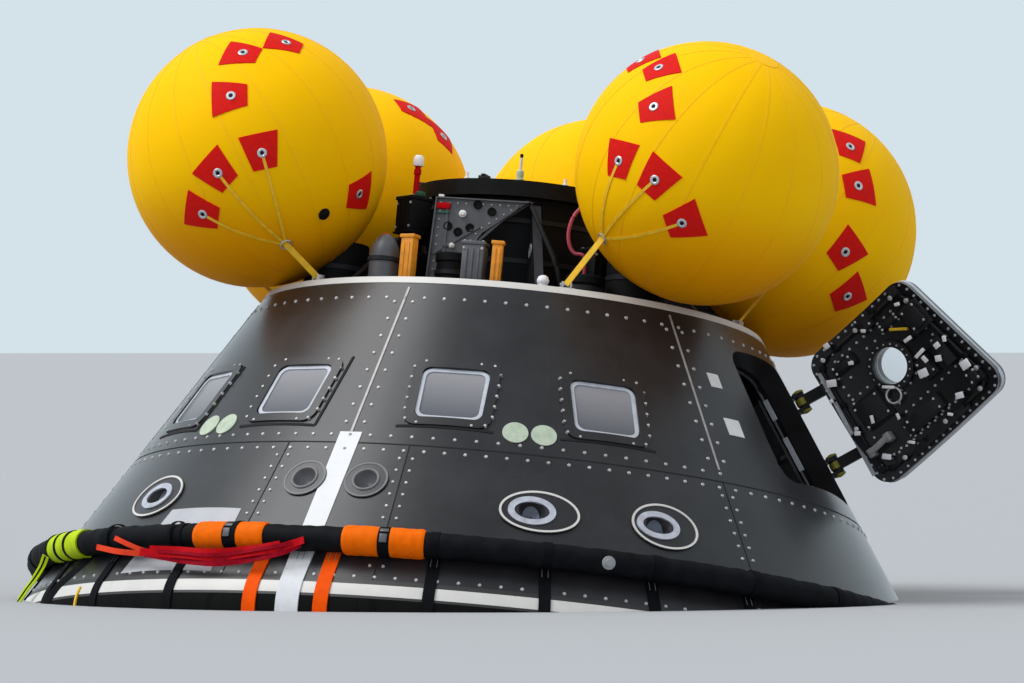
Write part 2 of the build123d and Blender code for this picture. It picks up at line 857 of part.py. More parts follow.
for name, piece in nodes.items():
    solids = piece if isinstance(piece, list) else [piece]
    lowered = [Pos(0, 0, -waterline_height) * solid for solid in solids]
    kept = [single for shape in lowered for single in shape.solids()]
    export_step(Compound(children=kept) if len(kept) > 1 else kept[0], f"parts/{name}.step")
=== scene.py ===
# %% [markdown]
# # A crew capsule afloat after its landing
#
# A capsule comes down under parachutes and floats until it is fetched. Five gas bags round its top keep it
# upright, and a black tube collar is fitted round its foot. The CAD model holds the hull, the hatch and the main
# pieces of gear. This lesson gives them their surfaces, bolts, seams, fabric and small fittings.
#
# The frame comes first. Every CAD piece lies where it belongs, in metres, with the origin at the waterline on
# the capsule's axis.

from math import acos, atan2, cos, degrees, hypot, pi, radians, sin, sqrt, tan

import bmesh
import bpy
from mathutils import Matrix, Vector


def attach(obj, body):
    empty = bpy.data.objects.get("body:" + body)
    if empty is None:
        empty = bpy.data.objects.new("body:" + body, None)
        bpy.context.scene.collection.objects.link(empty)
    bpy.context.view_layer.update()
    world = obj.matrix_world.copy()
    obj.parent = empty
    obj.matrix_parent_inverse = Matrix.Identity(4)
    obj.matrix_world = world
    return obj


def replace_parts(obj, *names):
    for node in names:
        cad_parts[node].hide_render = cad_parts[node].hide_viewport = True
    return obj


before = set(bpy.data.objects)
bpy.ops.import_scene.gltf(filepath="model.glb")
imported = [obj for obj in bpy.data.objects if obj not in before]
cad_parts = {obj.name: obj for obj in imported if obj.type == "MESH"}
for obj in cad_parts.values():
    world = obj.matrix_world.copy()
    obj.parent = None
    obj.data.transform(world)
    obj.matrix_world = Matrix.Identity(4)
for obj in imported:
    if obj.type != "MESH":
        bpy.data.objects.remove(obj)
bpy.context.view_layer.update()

# %% [markdown]
# ## The cone as a drawing board
#
# Nearly everything on the hull is placed by a bearing round the capsule and a height. Bearing 0 is the window
# side and 90 is the side hatch. Heights are measured from the widest circle, which lies 0.4 m under the
# waterline. A few small functions turn those numbers into points, so that a row of bolts or a painted stripe
# follows the cone by itself.

# %% Places on the cone
WATERLINE = 0.4
SLOPE = radians(32.5)
WIDEST = 2.5145
SHOULDER = 0.2515
FOOT_RADIUS = WIDEST - SHOULDER + SHOULDER * cos(SLOPE)
FOOT_HEIGHT = SHOULDER * sin(SLOPE)
BAND_HIGH = 0.15
BELT = 0.925
RIM_LOW, RIM_HIGH = 1.85, 1.912
UP = Vector((0, 0, 1))


def hull_radius(height):
    """Radius of the cone's outside at a height."""
    return FOOT_RADIUS - (height - FOOT_HEIGHT) * tan(SLOPE)


def at(bearing, distance, height):
    """A point by its bearing, its distance from the axis and its height."""
    angle = radians(bearing)
    return Vector((distance * sin(angle), -distance * cos(angle), height - WATERLINE))


def across(bearing):
    """The level direction along the hull, towards larger bearings."""
    angle = radians(bearing)
    return Vector((cos(angle), sin(angle), 0))


def level_out(bearing):
    """The level direction away from the axis."""
    angle = radians(bearing)
    return Vector((sin(angle), -cos(angle), 0))


def outward(bearing):
    """The direction straight out of the cone's surface."""
    return level_out(bearing) * cos(SLOPE) + UP * sin(SLOPE)


def upslope(bearing):
    """The direction straight up the cone's surface."""
    return outward(bearing).cross(across(bearing))


def on_cone(bearing, height, lift=0.0):
    """A point on the cone, or lifted off it."""
    return at(bearing, hull_radius(height), height) + outward(bearing) * lift


def on_face(bearing, height, x, y, lift=0.0):
    """A point of a flat drawing that lies against the cone at a bearing and height, pressed onto the cone."""
    point = on_cone(bearing, height) + across(bearing) * x + upslope(bearing) * y
    for step in range(4):
        distance = hypot(point.x, point.y)
        point -= outward(bearing) * (distance - hull_radius(point.z + WATERLINE)) * cos(SLOPE)
    return point + outward(bearing) * lift


def spaced(first, last, steps):
    """Evenly spaced numbers from first to last, both included."""
    return [first + (last - first) * i / steps for i in range(steps + 1)]


def full_turn(count):
    """The angles of a full turn, in radians."""
    return [2 * pi * i / count for i in range(count)]


print("cone radius at the belt", round(hull_radius(BELT), 3))

# %% [markdown]
# ## Shapes from paths and sections
#
# A stripe, a strap, a tube and a rim are the same job: a closed section carried along a path. The sweep takes
# the path and, for each point, which way is up. Its ends are closed, so that it is a solid skin. A patch or a
# panel is a slab between two grids of points.

# %% Sweeps and slabs
def circle_section(radius, sides=12):
    """A round section."""
    return [(radius * cos(a), radius * sin(a)) for a in full_turn(sides)]


def flat_section(width, low, high):
    """A flat strip's section, from low to high above its path."""
    half = width / 2
    return [(-half, low), (half, low), (half, high), (-half, high)]


def sweep(path, ups, section, closed=False):
    """Carries a closed section along a path. ups is one direction, or one for each point."""
    ups = [ups] * len(path) if isinstance(ups, Vector) else ups
    points, faces = [], []
    count, sides = len(path), len(section)
    for i, spot in enumerate(path):
        before = path[i - 1] if i or closed else spot
        after = path[(i + 1) % count] if i + 1 < count or closed else spot
        along = (after - before).normalized()
        side = along.cross(ups[i]).normalized()
        rise = side.cross(along)
        points += [spot + side * x + rise * y for x, y in section]
    for i in range(count if closed else count - 1):
        near, far = i * sides, ((i + 1) % count) * sides
        for j in range(sides):
            k = (j + 1) % sides
            faces.append((near + j, near + k, far + k, far + j))
    if not closed:
        faces.append(tuple(range(sides)))
        faces.append(tuple(range((count - 1) * sides, count * sides)))
    return points, faces


def trim(line, section, closed=False):
    """Carries a section along pairs of a point and the way up there."""
    return sweep([spot for spot, up in line], [up for spot, up in line], section, closed)


def pipe(path, radius):
    """A round tube along a path."""
    ups = []
    for i in range(len(path)):
        along = (path[min(i + 1, len(path) - 1)] - path[max(i - 1, 0)]).normalized()
        ups.append(UP if abs(along.z) < 0.9 else Vector((0, 1, 0)))
    return sweep(path, ups, circle_section(radius))


def slab(lower, upper):
    """A closed slab between two grids of points, each a list of rows."""
    rows, columns = len(lower), len(lower[0])
    points = [p for row in lower for p in row] + [p for row in upper for p in row]
    shift = rows * columns
    faces = []
    for i in range(rows - 1):
        for j in range(columns - 1):
            a, b = i * columns + j, i * columns + j + 1
            c, d = b + columns, a + columns
            faces += [(a, d, c, b), (shift + a, shift + b, shift + c, shift + d)]
    edge = list(range(columns))
    edge += [i * columns + columns - 1 for i in range(1, rows)]
    edge += [(rows - 1) * columns + j for j in range(columns - 2, -1, -1)]
    edge += [i * columns for i in range(rows - 2, 0, -1)]
    for k, a in enumerate(edge):
        b = edge[(k + 1) % len(edge)]
        faces.append((a, b, shift + b, shift + a))
    return points, faces


print("a slab of four points has", len(slab([[0, 1], [2, 3]], [[4, 5], [6, 7]])[1]), "faces")

# %% [markdown]
# ## Turned pieces, blocks and named pieces
#
# Most small fittings are turned on a lathe or cut from a block, so they are made in the same way here: a profile
# turned round an axis, or a box with its edges taken off. Shapes that belong together become one named object,
# with its faces turned outwards, and that object rides on a body.

# %% Lathe, blocks and the piece maker
def spun(profile, origin, axis, sides=24, oval=1.0, wide=None):
    """Turns (radius, rise) points round an axis. oval stretches it along the direction wide."""
    axis = axis.normalized()
    first = (wide or axis.orthogonal()).normalized()
    second = axis.cross(first)
    points, faces = [], []
    for radius, rise in profile:
        for a in full_turn(sides):
            spot = first * (radius * oval * cos(a)) + second * (radius * sin(a))
            points.append(origin + spot + axis * rise)
    for i in range(len(profile) - 1):
        for j in range(sides):
            k = (j + 1) % sides
            faces.append((i * sides + j, i * sides + k, (i + 1) * sides + k, (i + 1) * sides + j))
    faces.append(tuple(range(sides)))
    faces.append(tuple(range((len(profile) - 1) * sides, len(profile) * sides)))
    return points, faces


def ring(profile, origin, axis, sides=32, oval=1.0, wide=None):
    """A closed (radius, rise) profile turned round an axis, such as a washer or a rim."""
    points, faces = spun(profile, origin, axis, sides, oval, wide)
    faces = faces[:-2]
    last = (len(profile) - 1) * sides
    faces += [(last + j, last + (j + 1) % sides, (j + 1) % sides, j) for j in range(sides)]
    return points, faces


def block(centre, size, axes, bevel=0.004, segments=2):
    """A box of that size along three axes, with its edges rounded."""
    tool = bmesh.new()
    bmesh.ops.create_cube(tool, size=1.0)
    for vertex in tool.verts:
        vertex.co = Vector([vertex.co[i] * size[i] for i in range(3)])
    bmesh.ops.bevel(
        tool, geom=tool.edges[:], offset=min(bevel, min(size) / 3), segments=segments, profile=0.5, affect="EDGES"
    )
    tool.verts.index_update()
    points = [centre + axes[0] * v.co.x + axes[1] * v.co.y + axes[2] * v.co.z for v in tool.verts]
    faces = [tuple(v.index for v in face.verts) for face in tool.faces]
    tool.free()
    return points, faces


def hull_axes(bearing):
    """Across, up the slope and outwards, at a bearing."""
    return across(bearing), upslope(bearing), outward(bearing)


def level_axes(bearing):
    """Across, away from the axis, and up, at a bearing."""
    return across(bearing), level_out(bearing), UP


def new_object(name, data):
    """Puts a mesh, a camera or a light into the scene."""
    obj = bpy.data.objects.new(name, data)
    bpy.context.scene.collection.objects.link(obj)
    return obj


def piece(name, shapes, material, body="capsule", smooth=30):
    """Makes one named object out of shapes, and lets it ride on a body."""
    points, faces = [], []
    for more_points, more_faces in shapes:
        shift = len(points)
        points += more_points
        faces += [tuple(shift + index for index in face) for face in more_faces]
    mesh = bpy.data.meshes.new(name)
    mesh.from_pydata([tuple(p) for p in points], [], faces)
    tool = bmesh.new()
    tool.from_mesh(mesh)
    bmesh.ops.recalc_face_normals(tool, faces=tool.faces)
    tool.to_mesh(mesh)
    tool.free()
    mesh.materials.append(material)
    if smooth:
        mesh.shade_smooth()
        mesh.set_sharp_from_angle(angle=radians(smooth))
    obj = new_object(name, mesh)
    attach(obj, body)
    print(name, len(mesh.polygons), "faces")
    return obj


# %% [markdown]
# ## Materials
#
# Paint, film and fabric are never one flat colour. Each material mixes two close tones with noise, varies its
# roughness the same way and adds a little grain to the surface. The tone, the size of the marks and the grain
# are the numbers that differ from one material to the next.

# %% A material maker
def feed(tree, node, inputs):
    """Sets inputs of a node, each to a number, a colour or another node's output."""
    for name, value in inputs.items():
        if isinstance(value, bpy.types.NodeSocket):
            tree.links.new(value, node.inputs[name])
        else:
            node.inputs[name].default_value = value
    return node


def add_node(tree, kind, inputs=None, **settings):
    """A new node with its settings and inputs."""
    node = tree.nodes.new(kind)
    for name, value in settings.items():
        setattr(node, name, value)
    return feed(tree, node, inputs or {})


def maths(tree, operation, *values):
    """What a maths node makes of the values."""
    return add_node(tree, "ShaderNodeMath", dict(enumerate(values)), operation=operation).outputs["Value"]


def fade(tree, value, start, end, low=0.0, high=1.0, **settings):
    """A number that goes from low to high as the value goes from start to end."""
    inputs = {"Value": value, "From Min": start, "From Max": end, "To Min": low, "To Max": high}
    return add_node(tree, "ShaderNodeMapRange", inputs, **settings).outputs["Result"]


def tones(tree, value, first, second, start=0.0, end=1.0):
    """A colour that goes from the first to the second as the value rises."""
    ramp = add_node(tree, "ShaderNodeValToRGB", {"Fac": value})
    for element, position, colour in zip(ramp.color_ramp.elements, (start, end), (first, second)):
        element.position, element.color = position, (*colour, 1)
    return ramp.outputs["Color"]


def surface(name, colour, roughness, metallic=0.0, marks=0.12, mark_size=6.0, grain=0.15, grain_size=220.0,
            coat=0.0, shine=0.5):
    """A material with mottled colour and roughness, and a fine grain."""
    material = bpy.data.materials.new(name)
    material.use_nodes = True
    tree = material.node_tree
    place = add_node(tree, "ShaderNodeTexCoord").outputs["Object"]
    noise = {"Vector": place, "Scale": mark_size, "Detail": 6, "Roughness": 0.6}
    mottle = add_node(tree, "ShaderNodeTexNoise", noise).outputs["Fac"]
    fine = add_node(tree, "ShaderNodeTexNoise", {"Vector": place, "Scale": grain_size, "Detail": 3})
    bump = add_node(tree, "ShaderNodeBump", {"Strength": grain, "Distance": 0.001, "Height": fine.outputs["Fac"]})
    darker = [max(0.0, c * (1 - marks)) for c in colour]
    lighter = [min(1.0, c * (1 + marks)) for c in colour]
    feed(tree, tree.nodes["Principled BSDF"], {
        "Base Color": tones(tree, mottle, darker, lighter, 0.3, 0.7),
        "Roughness": fade(tree, mottle, 0.0, 1.0, max(0.05, roughness - 0.08), min(1.0, roughness + 0.08)),
        "Metallic": metallic,
        "Coat Weight": coat,
        "Specular IOR Level": shine,
        "Normal": bump.outputs["Normal"],
    })
    return material


# %% [markdown]
# ## The hull's tiles
#
# The cone is clad in square tiles under a dark satin film. From afar you hardly see the joints, only a faint
# grid. It is worked out from the angle round the axis and the height, so it runs round the cone without a seam.

# %% Tile material
TILE = 0.155
TILE_JOINT = 0.012
TILE_TONE = (0.017, 0.016, 0.018)


def overlay(material, factor, colour, blend="MIX"):
    """Lays a plain colour over a material's own, as far as the factor says."""
    tree = material.node_tree
    base = tree.nodes["Principled BSDF"].inputs["Base Color"]
    inputs = {"Factor": factor, "A": base.links[0].from_socket, "B": (*colour, 1)}
    shade = add_node(tree, "ShaderNodeMix", inputs, data_type="RGBA", blend_type=blend)
    tree.links.new(shade.outputs["Result"], base)


def joints(material, values, width, strength, tone):
    """Darkens the colour where one of the values is near a whole number."""
    tree = material.node_tree
    lines = []
    for value in values:
        part = maths(tree, "FRACT", value)
        edge = maths(tree, "MINIMUM", part, maths(tree, "SUBTRACT", 1.0, part))
        lines.append(maths(tree, "LESS_THAN", edge, width))
    joint = maths(tree, "MAXIMUM", lines[0], lines[1])
    overlay(material, maths(tree, "MULTIPLY", joint, strength), (tone, tone, tone), "MULTIPLY")


def split_place(tree):
    """The three numbers of the place on the object."""
    place = add_node(tree, "ShaderNodeTexCoord").outputs["Object"]
    return add_node(tree, "ShaderNodeSeparateXYZ", {"Vector": place}).outputs


def satin_film(name):
    """The dark film over the tiles, mottled and softly glossy."""
    material = surface(name, TILE_TONE, 0.36, marks=0.35, mark_size=3.5, grain=0.25, coat=1.0, shine=0.2)
    tree = material.node_tree
    feed(tree, tree.nodes["Principled BSDF"], {"Coat IOR": 1.22, "Coat Roughness": 0.28})
    return material


def hull_tiles():
    """The film with a faint grid of joints under it."""
    material = satin_film("hull_tiles")
    tree = material.node_tree
    place = split_place(tree)
    turn = maths(tree, "ARCTAN2", place["X"], place["Y"])
    turns = maths(tree, "MULTIPLY", turn, round(2 * pi * hull_radius(BELT) / TILE) / (2 * pi))
    rise = maths(tree, "MULTIPLY", place["Z"], 1 / (TILE * cos(SLOPE)))
    joints(material, (turns, rise), TILE_JOINT, 0.35, 0.35)
    return material


TILES = hull_tiles()
print("tiles round the belt", round(2 * pi * hull_radius(BELT) / TILE))

# %% [markdown]
# ## Paints and metals
#
# The white paint is a little warm, and the metals are satin rather than polished. The heat shield is made of
# square blocks of ablator, so it gets a grid of joints as the hull does, but a flat one that lies across it.

# %% Paint, ablator and metal
BLOCK_SIZE = 0.19
WHITE = surface("white_paint", (0.62, 0.61, 0.58), 0.45, marks=0.06, mark_size=9)
STRIPE = surface("stripe_paint", (0.70, 0.71, 0.72), 0.5, marks=0.05, mark_size=12)
PANEL_GREY = surface("light_panel_paint", (0.42, 0.43, 0.46), 0.45, marks=0.1)
CHAR = surface("ablator", (0.005, 0.005, 0.005), 0.8, marks=0.35, mark_size=4, grain=0.5, grain_size=60, shine=0.08)
place = split_place(CHAR.node_tree)
blocks = [maths(CHAR.node_tree, "MULTIPLY", place[axis], 1 / BLOCK_SIZE) for axis in ("X", "Y")]
joints(CHAR, blocks, 0.02, 0.6, 0.3)
SILVER = surface("silver_metal", (0.55, 0.56, 0.58), 0.38, metallic=0.7, marks=0.12, mark_size=30)
BOLT = surface("bolt_metal", (0.46, 0.44, 0.44), 0.5, metallic=0.3, marks=0.25, mark_size=14)
LINE = surface("seam_metal", (0.36, 0.34, 0.33), 0.5, metallic=0.2, marks=0.2, mark_size=20)
DARK = surface("dark_metal", (0.006, 0.006, 0.007), 0.6, marks=0.4, mark_size=10, shine=0.12)
GUNMETAL = surface("gun_metal", (0.020, 0.020, 0.023), 0.5, marks=0.3, mark_size=12, shine=0.2)
BLACK_GAP = surface("gap_black", (0.004, 0.004, 0.004), 0.9, marks=0.2)
GREY = surface("grey_metal", (0.10, 0.10, 0.11), 0.45, metallic=0.2, marks=0.2, mark_size=12)
PALE_GREY = surface("pale_grey_metal", (0.30, 0.31, 0.33), 0.45, metallic=0.2, marks=0.15, mark_size=12)
NOZZLE = surface("nozzle_metal", (0.46, 0.48, 0.54), 0.4, metallic=0.2, marks=0.25, mark_size=18)
THROAT = surface("nozzle_throat", (0.10, 0.115, 0.15), 0.4, metallic=0.2, marks=0.3, mark_size=20)
COVER = surface("cover_film", (0.43, 0.51, 0.39), 0.55, marks=0.14, mark_size=26, grain=0.4)
OLIVE = surface("olive_bush", (0.28, 0.25, 0.03), 0.5, metallic=0.4, marks=0.2, mark_size=30)
print("paints and metals", len(bpy.data.materials))

# %% [markdown]
# ## Fabrics, webbing and glass
#
# The bag fabric is coated, so it is smooth with a soft shine. The webbing and the collar cover are rougher, with
# a grain that stands for the weave. Strong colours are kept from shining, or they would look washed out.

# %% Fabric, webbing, lamps and clear glass
WEBBING = {"mark_size": 26, "grain": 0.7, "grain_size": 320}
YELLOW = surface(
    "bag_fabric", (1.0, 0.55, 0.0), 0.62, marks=0.03, mark_size=2.2, grain=0.2, grain_size=420, shine=0.05
)
SEAM_YELLOW = surface("bag_seam", (0.99, 0.53, 0.0), 0.62, marks=0.04, mark_size=14, grain=0.4, shine=0.12)
RED = surface("patch_fabric", (0.66, 0.010, 0.007), 0.6, marks=0.1, mark_size=40, grain=0.5, shine=0.06)
ORANGE = surface("orange_webbing", (0.84, 0.085, 0.0), 0.6, marks=0.1, shine=0.06, **WEBBING)
RED_WEB = surface("red_webbing", (0.46, 0.003, 0.007), 0.6, marks=0.2, shine=0.05, **WEBBING)
# A darker copy of the red webbing: painted shade for the lower strands of the webbing bundle.
SHADED_RED_WEB = surface("shaded_red_webbing", (0.28, 0.002, 0.012), 0.6, marks=0.25, shine=0.05, **WEBBING)
SLEEVE_ORANGE = surface("sleeve_cover", (0.84, 0.14, 0.0), 0.6, marks=0.1, shine=0.06, **WEBBING)
AMBER = surface("amber_cover", (0.80, 0.30, 0.01), 0.55, marks=0.18, mark_size=20, grain=0.5)
BLACK_CLOTH = surface(
    "black_fabric", (0.005, 0.0055, 0.007), 0.65, marks=0.4, mark_size=12, grain=0.6, grain_size=300, shine=0.07
)
ORANGE_RED = surface("orange_red_webbing", (0.66, 0.045, 0.012), 0.6, marks=0.15, shine=0.1, **WEBBING)
WEB_BLACK = surface(
    "black_webbing", (0.004, 0.0045, 0.006), 0.7, marks=0.3, mark_size=20, grain=0.7, grain_size=320, shine=0.06
)
YELLOW_WEB = surface("thin_yellow_webbing", (0.80, 0.50, 0.02), 0.6, marks=0.15, mark_size=26, grain=0.7)
WHITE_WEB = surface("white_webbing", (0.66, 0.68, 0.70), 0.65, marks=0.08, mark_size=18, grain=0.7, grain_size=320)
LIME = surface("lime_fabric", (0.45, 0.62, 0.004), 0.6, marks=0.14, mark_size=16, grain=0.6, shine=0.12)
TETHER = surface("yellow_webbing", (0.85, 0.50, 0.01), 0.6, marks=0.16, mark_size=26, grain=0.7)
SEAT = surface("seat_fabric", (0.030, 0.035, 0.05), 0.8, marks=0.25, mark_size=30, grain=0.8)
SEALANT = surface("seal_strip", (0.47, 0.50, 0.55), 0.5, marks=0.15, mark_size=18)
GREEN = surface("green_cap", (0.012, 0.10, 0.055), 0.5, marks=0.2, mark_size=30)
STRUT = surface("strut_grey", (0.25, 0.245, 0.24), 0.45, metallic=0.2, marks=0.15, mark_size=16)
SCREEN = surface("screen_glass", (0.010, 0.012, 0.016), 0.12, marks=0.2, mark_size=8, grain=0.02, coat=0.5)
PINK = surface("pink_line", (0.50, 0.07, 0.12), 0.45, marks=0.15, mark_size=30)
LENS = surface("lamp_lens", (0.84, 0.84, 0.88), 0.25, marks=0.03, mark_size=30, grain=0.05)
PAIR_METAL = surface("pair_port_metal", (0.15, 0.145, 0.15), 0.5, marks=0.25, mark_size=18)
GEAR_GREY = surface("hatch_gear_grey", (0.014, 0.014, 0.016), 0.5, marks=0.3, mark_size=16, shine=0.2)
CLEAR = surface("clear_glass", (0.92, 0.95, 0.97), 0.05, marks=0.02, mark_size=5, grain=0.0)
CLEAR.node_tree.nodes["Principled BSDF"].inputs["Transmission Weight"].default_value = 1.0
print("materials", len(bpy.data.materials))

# %% [markdown]
# ## Painted shade on the bags and a painted edge
#
# Towards their undersides the bags' yellow goes over to a deeper orange, which is painted shade. The white band at
# the foot has a dark edge above and below. Both depend only on the height, so a node reads it from the place on
# the object.

# %% Colours that change with the height
# Heights between which painted shade deepens the bags' yellow towards their undersides.
SHADE_TOP, SHADE_FOOT = 2.45, 1.95
PAINT_LOW, PAINT_HIGH = 0.064, 0.1255


def shade_underside(material, colour):
    """Paints shade on a bag: its colour goes over to a deeper one towards its underside."""
    tree = material.node_tree
    height = split_place(tree)["Z"]
    painted_shade = fade(tree, height, SHADE_TOP - WATERLINE, SHADE_FOOT - WATERLINE, interpolation_type="SMOOTHSTEP")
    overlay(material, painted_shade, colour)


# Painted shade: the bags' yellow and their seam tapes deepen towards the undersides.
shade_underside(YELLOW, (0.86, 0.33, 0.0))
shade_underside(SEAM_YELLOW, (0.85, 0.32, 0.0))


def band_paint():
    """White paint that leaves a dark edge above and below."""
    material = surface("foot_band_paint", (0.62, 0.61, 0.58), 0.45, marks=0.06, mark_size=9)
    tree = material.node_tree
    height = split_place(tree)["Z"]
    under = maths(tree, "LESS_THAN", height, PAINT_LOW - WATERLINE)
    over = maths(tree, "GREATER_THAN", height, PAINT_HIGH - WATERLINE)
    overlay(material, maths(tree, "MAXIMUM", under, over), (0.018, 0.016, 0.016))
    return material


BAND = band_paint()
print("foot band painted from", PAINT_LOW, "to", PAINT_HIGH)

# %% [markdown]
# ## Window glass
#
# The panes are coated and from outside look like pale grey mirrors, darker towards the sill. That reflection of the
# sky is painted into their colour, fading with the height. A little see-through is left, enough to show that there
# is a cabin behind them. The hatch's own window is clear. A helper puts these finishes on the CAD nodes that stay
# as they are.

# %% Glass, and dress for the CAD nodes
# Tones of the painted sky reflection on the panes: pale at the top, darker at the sill.
REFLECTION_TOP = (0.34, 0.34, 0.36)
REFLECTION_FOOT = (0.12, 0.125, 0.145)
GLASS_LOW, GLASS_HIGH = 1.10, 1.36


def window_glass():
    """Coated glass with a painted sky reflection, pale at the top and darker at the sill."""
    material = surface("window_glass", REFLECTION_TOP, 0.2, marks=0.05, mark_size=5, grain=0.0, shine=0.2)
    tree = material.node_tree
    rise = fade(tree, split_place(tree)["Z"], GLASS_LOW - WATERLINE, GLASS_HIGH - WATERLINE)
    inputs = {"Base Color": tones(tree, rise, REFLECTION_FOOT, REFLECTION_TOP), "Transmission Weight": 0.15}
    feed(tree, tree.nodes["Principled BSDF"], inputs)
    return material


GLASS = window_glass()


def dress(material, *names):
    """Gives CAD nodes a material."""
    for name in names:
        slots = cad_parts[name].data.materials
        slots.clear()
        slots.append(material)


dress(TILES, *[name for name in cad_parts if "_panel_" in name])
dress(TILES, "window_frames", "thruster_ports", "rim_ring")
dress(CHAR, "heat_shield")
dress(GREY, "separation_pads", "bay_bracket")
dress(BAND, "foot_band")
dress(GLASS, "window_panes")
dress(CLEAR, "hatch_window_pane")
dress(COVER, "thruster_covers")
dress(SILVER, "docking_lid_handle")
dress(GEAR_GREY, "hatch_window_rim", "hatch_latch_gear", "hatch_hinge_brackets", "hatch_hinge_arms")
dress(DARK, "hatch_coaming", "bay_deck", "docking_tunnel", "docking_ring", "bay_gussets", "bag_canisters")
dress(DARK, "cabin_floor", "display_console", "docking_lid", "bay_boxes", "bay_mortars")
dress(BLACK_CLOTH, "collar_tube", "collar_straps")
dress(SLEEVE_ORANGE, "collar_sleeves")
dress(SEAT, "crew_seats")
dress(WHITE, "whip_antenna")
dress(LENS, "beacon_lamp")
print("dressed", len(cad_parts), "CAD nodes")

# %% [markdown]
# ## Rows of bolts
#
# The panels are held by rows of bolts along their edges. A Geometry Nodes tree sets one head every so many
# centimetres along each line and turns it to stand square on the hull. The lines are thin wires that carry the
# outward direction at each point. The heads are low, ten-sided cones: from afar they are specks of light.

# %% The bolt tree
def bolt_tree():
    """Geometry Nodes: one bolt head at every Spacing along the wires of a mesh."""
    tree = bpy.data.node_groups.new("bolt_rows", "GeometryNodeTree")
    face = tree.interface
    face.new_socket("Geometry", in_out="INPUT", socket_type="NodeSocketGeometry")
    for label, value in (("Spacing", 0.1), ("Head radius", 0.011), ("Head height", 0.005)):
        face.new_socket(label, in_out="INPUT", socket_type="NodeSocketFloat").default_value = value
    face.new_socket("Material", in_out="INPUT", socket_type="NodeSocketMaterial")
    face.new_socket("Geometry", in_out="OUTPUT", socket_type="NodeSocketGeometry")
    start = tree.nodes.new("NodeGroupInput").outputs
    wires = add_node(tree, "GeometryNodeMeshToCurve", {"Mesh": start["Geometry"]})
    inputs = {"Curve": wires.outputs["Curve"], "Length": start["Spacing"]}
    beads = add_node(tree, "GeometryNodeResampleCurve", inputs, mode="LENGTH")
    top = maths(tree, "MULTIPLY", start["Head radius"], 0.72)
    inputs = {"Vertices": 10, "Radius Bottom": start["Head radius"], "Radius Top": top, "Depth": start["Head height"]}
    head = add_node(tree, "GeometryNodeMeshCone", inputs)
    facing = add_node(tree, "GeometryNodeInputNamedAttribute", {"Name": "outward"}, data_type="FLOAT_VECTOR")
    turn = add_node(tree, "FunctionNodeAlignRotationToVector", {"Vector": facing.outputs["Attribute"]}, axis="Z")
    spread = add_node(tree, "GeometryNodeInstanceOnPoints", {
        "Points": beads.outputs["Curve"], "Instance": head.outputs["Mesh"], "Rotation": turn.outputs["Rotation"]
    })
    real = add_node(tree, "GeometryNodeRealizeInstances", {"Geometry": spread.outputs["Instances"]})
    inputs = {"Geometry": real.outputs["Geometry"], "Material": start["Material"]}
    coat = add_node(tree, "GeometryNodeSetMaterial", inputs)
    feed(tree, tree.nodes.new("NodeGroupOutput"), {"Geometry": coat.outputs["Geometry"]})
    return tree


BOLT_TREE = bolt_tree()
print("bolt tree with", len(BOLT_TREE.nodes), "nodes")

# %% [markdown]
# ## From wires to bolts
#
# The tree is run once over each set of wires, and its result is kept as a plain mesh. So the bolts of a row are
# one named piece that rides on a body like any other.

# %% Rows from wires
def bolt_rows(name, wires, spacing, radius, height, material=BOLT, body="capsule"):
    """Bolts along wires. Each wire is a list of (point, outward) pairs."""
    points, edges, facings = [], [], []
    for wire in wires:
        first = len(points)
        points += [tuple(spot) for spot, facing in wire]
        facings += [tuple(facing) for spot, facing in wire]
        edges += [(first + i, first + i + 1) for i in range(len(wire) - 1)]
    mesh = bpy.data.meshes.new(name + "_wires")
    mesh.from_pydata(points, edges, [])
    store = mesh.attributes.new("outward", "FLOAT_VECTOR", "POINT")
    for value, facing in zip(store.data, facings):
        value.vector = facing
    holder = new_object(name, mesh)
    rows = holder.modifiers.new("rows", "NODES")
    rows.node_group = BOLT_TREE
    values = {"Spacing": spacing, "Head radius": radius, "Head height": height, "Material": material}
    for item in BOLT_TREE.interface.items_tree:
        if item.in_out == "INPUT" and item.name in values:
            rows[item.identifier] = values[item.name]
    view = holder.evaluated_get(bpy.context.evaluated_depsgraph_get())
    solid = bpy.data.meshes.new_from_object(view)
    solid.name = name
    holder.modifiers.clear()
    holder.data = solid
    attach(holder, body)
    print(name, len(solid.polygons) // 12, "bolts")
    return holder


def level_wire(height, first=0.0, last=360.0):
    """A wire round the cone at one height."""
    return [(on_cone(b, height), outward(b)) for b in spaced(first, last, round((last - first) / 3))]


def slope_wire(bearing, low, high, offset):
    """A wire up the cone, offset level from a bearing."""
    spots = [(bearing + degrees(offset / hull_radius(h)), h) for h in spaced(low, high, 8)]
    return [(on_cone(b, h), outward(b)) for b, h in spots]


print("points in a wire round the cone", len(level_wire(BELT)))

# %% [markdown]
# ## Where the rows run
#
# Rows follow every edge of every panel: below the top ring, on both sides of the seams that run up the cone,
# above and below the belt, and just above the white band. Round each window they are closer together.

# %% Bolts on the hull
SEAM_BEARINGS = (0, 60, 120, 180, 240, 300)
LOWER_SEAMS = (-10, 10, 60, 120, 180, 240, 300)
WINDOWS = (-40.8, -14.8, 14.8, 40.8)
WINDOW_HEIGHT = 1.235
TOP_ROW, FOOT_ROW = 1.785, 0.166

